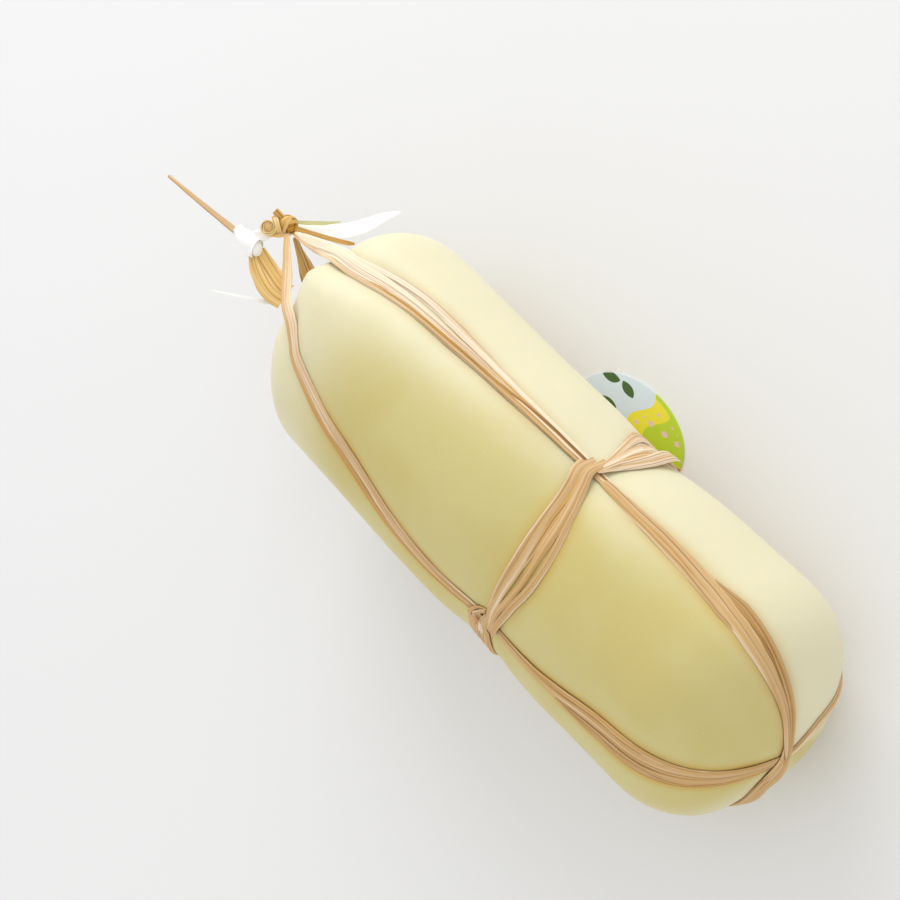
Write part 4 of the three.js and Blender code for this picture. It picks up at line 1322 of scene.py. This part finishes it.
class CACIO_OT_loose_ends(bpy.types.Operator):
    """Shape the stiff stalk, the golden folded leaf that hangs beside it and the short cut tail"""

    bl_idname = "caciocavallo.shape_loose_ends"
    bl_label = "Stalk, leaf and tail"

    STALK_BASE = Vector((-161.2, -5, 40.6)) * MM
    STALK_TIP = Vector((-199.7, -7.8, 41.6)) * MM
    STALK_RADII = (1.15 * MM, 0.6 * MM)
    STALK_BEND = 0.5 * MM
    STALK_CUTS = np.linspace(-0.48, 0.48, 33)
    RIBS = ((0.08, 5, 0), (0.05, 9, 1))  # depth, number round the stalk and turn of each set of ribs
    UNEVEN = (0.06, 0.3)  # depth and length of the stalk's thick and thin places
    # Each fold of the leaf: its route, and the ply that lies along it.
    LEAF = (
        (((-150.7, -5.6, 38.8), (-146.3, -7.8, 38.1), (-140.3, -9.2, 38.6), (-134.6, -9.8, 39),
          (-129.3, -9.4, 39.3)),
         Ply(0, 0.3, ((0, 0, 3.6), (8, 0, 5.4), (18, 0, 5.6), (27, 0, 4)))),
        (((-150.9, -6.6, 40.4), (-146.5, -9.1, 41), (-140.2, -11.1, 41.4), (-133.8, -12, 41.6),
          (-127.7, -11.3, 41.3)),
         Ply(0, 0.25, ((0, 0, 2.4), (6, 0, 4), (14, 0, 5), (22, 0, 5.2), (29, 0, 4.2)))),
        (((-149.7, -4, 38.9), (-144.7, -5.1, 38.7), (-138.7, -6, 39), (-133, -6.6, 39.5),
          (-129.2, -6.5, 39.6)),
         Ply(0, 0.2, ((0, 0.4, 3.6), (6, 0.6, 5.2), (14, 0.7, 5.8), (22, 0.6, 4.4)))),
    )
    TAIL_ROUTE = ((-145.2, 9.2, 36.2), (-132.3, 14.5, 33.8), (-123.5, 18.3, 32.3))
    TAIL_PLIES = (
        Ply(0, 0.8, ((0, -0.3, 0.9), (24.3, -0.3, 0.9))),
        Ply(0.2, 0.5, ((0, 0.2, 1), (21.6, 0.2, 1.2), (23, 0, 0.6))),
    )

    def execute(self, context):
        r = settings_of(context).raffia
        material = raffia_leaf("dry_raffia", r, -0.1, dry=True)
        finish(self.stalk(), raffia_leaf("raffia_stalk", r, 0.05), "dry_raffia", "stalk")
        leaf = []
        for number, (route, ply) in enumerate(self.LEAF):
            leaf += lay_plies([ply], free_line(route), lay_free, 71 + number, r, pleat=2.5)
        finish(join(leaf, "hang_leaf_fold"), material, "dry_raffia", "hang_leaf")
        tail = lay_plies(self.TAIL_PLIES, free_line(self.TAIL_ROUTE), lay_free, 75, r)
        finish(join(tail, "cut_tail_leaf"), material, "dry_raffia", "cut_tail")
        return {"FINISHED"}

    def stalk(self):
        """A tapered rod with ribs along it and a slight bend."""
        line = self.STALK_TIP - self.STALK_BASE
        deselect()
        bpy.ops.mesh.primitive_cylinder_add(vertices=28, radius=1, depth=1, end_fill_type="TRIFAN")
        rod = bpy.context.object
        bpy.ops.object.mode_set(mode="EDIT")
        for cut in self.STALK_CUTS:
            bpy.ops.mesh.select_all(action="SELECT")
            bpy.ops.mesh.bisect(plane_co=(0, 0, cut), plane_no=(0, 0, 1))
        bpy.ops.object.mode_set(mode="OBJECT")
        places = vertex_places(rod)
        share = places[:, 2] + 0.5
        turn = np.arctan2(places[:, 1], places[:, 0])
        across = np.hypot(places[:, 0], places[:, 1])
        rng = np.random.default_rng(76)
        ribs = sum(depth * np.cos(count * turn + start) for depth, count, start in self.RIBS)
        ribs = 1 + ribs + wave(rng, share, *self.UNEVEN)
        radius = blend(*self.STALK_RADII, share) * across * ribs
        bend = self.STALK_BEND * np.sin(math.pi * share)
        local = np.stack([np.cos(turn) * radius, np.sin(turn) * radius + bend, share * line.length], -1)
        spin = np.array(line.to_track_quat("Z", "Y").to_matrix())
        move_vertices(rod, local @ spin.T + np.array(self.STALK_BASE))
        set_uv(rod, share * line.length, turn * self.STALK_RADII[0])
        # The stalk's two ends get some of the leaf material's painted edge highlight.
        set_attribute(rod, "edge", 0.3 * (1 - ease(share, 0, 0.05)) + 0.2 * ease(share, 0.92, 1))
        set_attribute(rod, "tone", 0.3 + 0.15 * np.cos(turn))
        rod.name = "stalk_rod"
        return rod


class CACIO_OT_ribbon(bpy.types.Operator):
    """Wind the white ribbon round the stalk's foot and shape its two loose ends"""

    bl_idname = "caciocavallo.wind_ribbon"
    bl_label = "White ribbon"

    COLLAR = np.array([(-161.4, -4.2, 40.8), (-149.6, -5.2, 39.6)]) * MM
    COLLAR_CORE = 3.4 * MM
    COLLAR_PAST = 0.12  # how far the core runs past the collar's end, as a share of its length
    COLLAR_SQUASH = 0.75
    PLEAT = 1.2
    # Each turn: its place along the collar, its radius, its width and its tilt.
    COLLAR_TURNS = ((0.12, 1.7, 3.6, 14), (0.38, 2.3, 4, -16), (0.62, 2.8, 4.2, 12), (0.8, 3.1, 3.6, -18))
    BRIDGE_ROUTE = ((-156.4, -4.6, 40.6), (-152.8, 0.6, 38.6), (-149.4, 6, 35.8))
    BRIDGE_PLIES = (
        Ply(0, 0, ((0, 0.6, 4.6), (5, 0.3, 5), (11.5, 0, 2.6))),
        Ply(0.4, 0, ((0, -1, 2), (11.5, -0.6, 1.4))),
    )
    PENNANT_ROUTE = (
        (-149.9, 8.6, 30.4), (-142, 12.6, 29.3), (-132.5, 18.8, 29), (-126.8, 25.4, 28.5),
        (-123, 31.6, 28), (-119.4, 36.4, 26.8))
    PENNANT_PLIES = (
        Ply(0, 0, ((0, 0, 1.6), (9, 0, 3.8), (20, 0, 6), (29, 0, 5.8), (36, 0, 3.4), (42, 0, 0.8))),
    )
    PENNANT_FACING = np.array([0.13, 0.49, 0.86])
    PENNANT_PLEAT = 0.7
    EDGE_ROUTE = ((-150.4, 9.3, 31.7), (-145.5, 12.4, 31.4), (-140.1, 16.3, 30.7), (-135.2, 20.4, 30.2))
    EDGE_PLIES = (Ply(0, 1, ((0, 0, 1.2), (6, 0, 1.6), (12, 0, 1.4), (19, 0, 0.4))),)
    THREAD_ROUTE = (
        (-151, -6, 36), (-139, -10, 36.6), (-134, -14.6, 38.6), (-139.4, -18.1, 41.9),
        (-150.1, -24.1, 47.7))
    THREAD_PLIES = (Ply(0, 0, ((0, 0, 1.1), (20, 0, 1.3), (44, 0, 1.1))),)

    def execute(self, context):
        s = settings_of(context).ribbon
        material = white_ribbon(s)
        sizes = settings_of(context).raffia
        foot, end = self.COLLAR
        turns = [lump(foot, end + (end - foot) * self.COLLAR_PAST, self.COLLAR_CORE)]
        bridge = free_line(self.BRIDGE_ROUTE)
        turns += lay_plies(self.BRIDGE_PLIES, bridge, lay_free, 80, sizes, pleat=self.PLEAT)
        for number, (share, radius, width, tilt) in enumerate(self.COLLAR_TURNS):
            middle = blend(foot, end, share)
            angles = np.linspace(0, 2 * math.pi, 21)
            lean = np.cos(angles) * math.tan(math.radians(tilt))
            circle = np.stack([lean, np.cos(angles), self.COLLAR_SQUASH * np.sin(angles)], -1) * radius * MM
            line = Line(middle + circle, lambda places: places - middle)
            length = line.run[-1] / MM
            ply = Ply(0.1 * number, 0, ((0, 0, width), (length / 2, 0, width), (length, 0, width)))
            turns += lay_plies([ply], line, lay_free, 81 + number, sizes, pleat=self.PLEAT)
        finish(join(turns, "ribbon_wrap"), material, "white_ribbon", "ribbon_collar")
        route = free_line(self.PENNANT_ROUTE, self.PENNANT_FACING)
        pennant = lay_plies(self.PENNANT_PLIES, route, lay_free, 85, sizes, pleat=self.PENNANT_PLEAT)
        pennant += lay_plies(self.EDGE_PLIES, free_line(self.EDGE_ROUTE), lay_free, 86, sizes)
        finish(join(pennant, "ribbon_end_broad"), material, "white_ribbon", "ribbon_pennant")
        thread = lay_plies(self.THREAD_PLIES, free_line(self.THREAD_ROUTE), lay_free, 87, sizes)
        finish(join(thread, "ribbon_end_thin"), material, "white_ribbon", "ribbon_thread")
        return {"FINISHED"}


class CACIO_OT_tag(bpy.types.Operator):
    """Cut the oval card tag, punch its hole and tie it to the ring"""

    bl_idname = "caciocavallo.hang_tag"
    bl_label = "Card tag"

    PLACE = np.array([-15.9, 28.6, 0]) * MM
    HOLE = (18 * MM, -5 * MM)
    HOLE_RADIUS = 1.8 * MM
    EDGE_ROUND = 0.12 * MM
    TIE_ROUTE = ((15, 34.4, 17), (9, 29.5, 7.4), (2.6, 24, 0.9))
    TIE_FACING = np.array([0, 1, 0])
    TIE_PLIES = (
        Ply(0, 0.1, ((0, 0, 1.6), (22.5, 0, 1.8))),
        Ply(0.3, 0.3, ((0, 0.5, 0.8), (22.5, 0.4, 0.8))),
    )

    def execute(self, context):
        settings = settings_of(context)
        s = settings.ribbon
        half = np.array([s.tag_length, s.tag_width]) / 2
        deselect()
        bpy.ops.mesh.primitive_cylinder_add(vertices=160, radius=1, depth=s.tag_thickness)
        tag = context.object
        move_vertices(tag, vertex_places(tag) * (*half, 1) + (0, 0, s.tag_thickness / 2))
        bpy.ops.mesh.primitive_cylinder_add(
            vertices=40, radius=self.HOLE_RADIUS, depth=10 * s.tag_thickness, location=(*self.HOLE, 0))
        punch = context.object
        apply_modifier(tag, "BOOLEAN", object=punch, operation="DIFFERENCE", solver="EXACT")
        bpy.data.objects.remove(punch)
        apply_modifier(tag, "BEVEL", width=self.EDGE_ROUND, segments=2, limit_method="ANGLE")
        places = vertex_places(tag)
        set_uv(tag, places[:, 0] / half[0], places[:, 1] / half[1])
        move_vertices(tag, places + self.PLACE)
        tag.name = "tag_card"
        finish(tag, tag_print(s), "tag_card", "tag")
        route = free_line(self.TIE_ROUTE, self.TIE_FACING)
        tie = lay_plies(self.TIE_PLIES, route, lay_free, 91, settings.raffia)
        material = raffia_leaf("raffia_tie", settings.raffia, 0.0)
        finish(join(tie, "tag_tie_leaf"), material, "raffia", "tag_tie")
        return {"FINISHED"}


class CACIO_OT_stage(bpy.types.Operator):
    """Set the pale floor, the soft light and the camera"""

    bl_idname = "caciocavallo.set_stage"
    bl_label = "Stage"

    KEY_PLACE = Vector((-1.0, 0.9, 0.5))
    KEY_SIZE = 1.0
    FILL_PLACE = Vector((0.5, -1.1, 0.7))
    FILL_SIZE = 1.2
    AIM = Vector((0, 0, 0.04))
    SENSOR = 36  # width of the film, in millimetres

    def execute(self, context):
        s = settings_of(context).stage
        scene = context.scene
        deselect()
        bpy.ops.mesh.primitive_plane_add(size=s.floor_size)
        floor = context.object
        floor.name = "floor"
        floor.data.materials.append(plain_floor(s))
        self.light("key_light", self.KEY_PLACE, self.KEY_SIZE, s.key_power)
        self.light("fill_light", self.FILL_PLACE, self.FILL_SIZE, s.fill_power)
        world = bpy.data.worlds.new("surroundings")
        world.use_nodes = True
        background = world.node_tree.nodes["Background"]
        background.inputs["Color"].default_value = (*s.world_colour, 1)
        background.inputs["Strength"].default_value = s.world_strength
        scene.world = world
        scene.view_settings.view_transform = "Standard"
        self.camera(s, scene)
        return {"FINISHED"}

    def light(self, name, place, size, power):
        turn = (place - self.AIM).to_track_quat("Z", "Y").to_euler()
        bpy.ops.object.light_add(type="AREA", location=place, rotation=turn)
        lamp = bpy.context.object
        lamp.name = name
        lamp.data.shape = "DISK"
        lamp.data.size = size
        lamp.data.energy = power

    @staticmethod
    def camera(s, scene):
        """The camera looks the way of its azimuth and elevation, and is rolled about its own axis."""
        level = math.cos(s.elevation)
        back = Vector((math.sin(s.azimuth) * level, -math.cos(s.azimuth) * level, math.sin(s.elevation)))
        flat_right = Vector((math.cos(s.azimuth), math.sin(s.azimuth), 0))
        right = math.cos(s.roll) * flat_right + math.sin(s.roll) * back.cross(flat_right)
        turn = Matrix((right, back.cross(right), back)).transposed().to_euler()
        bpy.ops.object.camera_add(location=s.camera_place, rotation=turn)
        scene.camera = bpy.context.object
        scene.camera.name = "camera"
        scene.camera.data.lens = s.lens
        scene.camera.data.sensor_width = CACIO_OT_stage.SENSOR


class CACIO_PT_panel(bpy.types.Panel):
    """Lists the pieces of the cheese in the order they are made"""

    bl_label = "Caciocavallo"
    bl_idname = "CACIO_PT_panel"
    bl_space_type = "VIEW_3D"
    bl_region_type = "UI"
    bl_category = "Cheese"

    def draw(self, context):
        for operator in OPERATORS:
            self.layout.operator(operator.bl_idname)


SETTINGS = (CheeseSettings, RaffiaSettings, RibbonSettings, StageSettings, CaciocavalloSettings)
OPERATORS = (
    CACIO_OT_body, CACIO_OT_strands, CACIO_OT_ring, CACIO_OT_knot, CACIO_OT_loose_ends, CACIO_OT_ribbon,
    CACIO_OT_tag, CACIO_OT_stage)


def register():
    for made in (*SETTINGS, *OPERATORS, CACIO_PT_panel):
        bpy.utils.register_class(made)
    bpy.types.Scene.caciocavallo = PointerProperty(type=CaciocavalloSettings)


def unregister():
    del bpy.types.Scene.caciocavallo
    for made in reversed((*SETTINGS, *OPERATORS, CACIO_PT_panel)):
        bpy.utils.unregister_class(made)


def main():
    register()
    bpy.ops.caciocavallo.set_stage()
    bpy.ops.caciocavallo.shape_body()
    bpy.ops.caciocavallo.lay_strands()
    bpy.ops.caciocavallo.wrap_ring()
    bpy.ops.caciocavallo.tie_knot()
    bpy.ops.caciocavallo.shape_loose_ends()
    bpy.ops.caciocavallo.wind_ribbon()
    bpy.ops.caciocavallo.hang_tag()


if __name__ == "__main__":
    main()
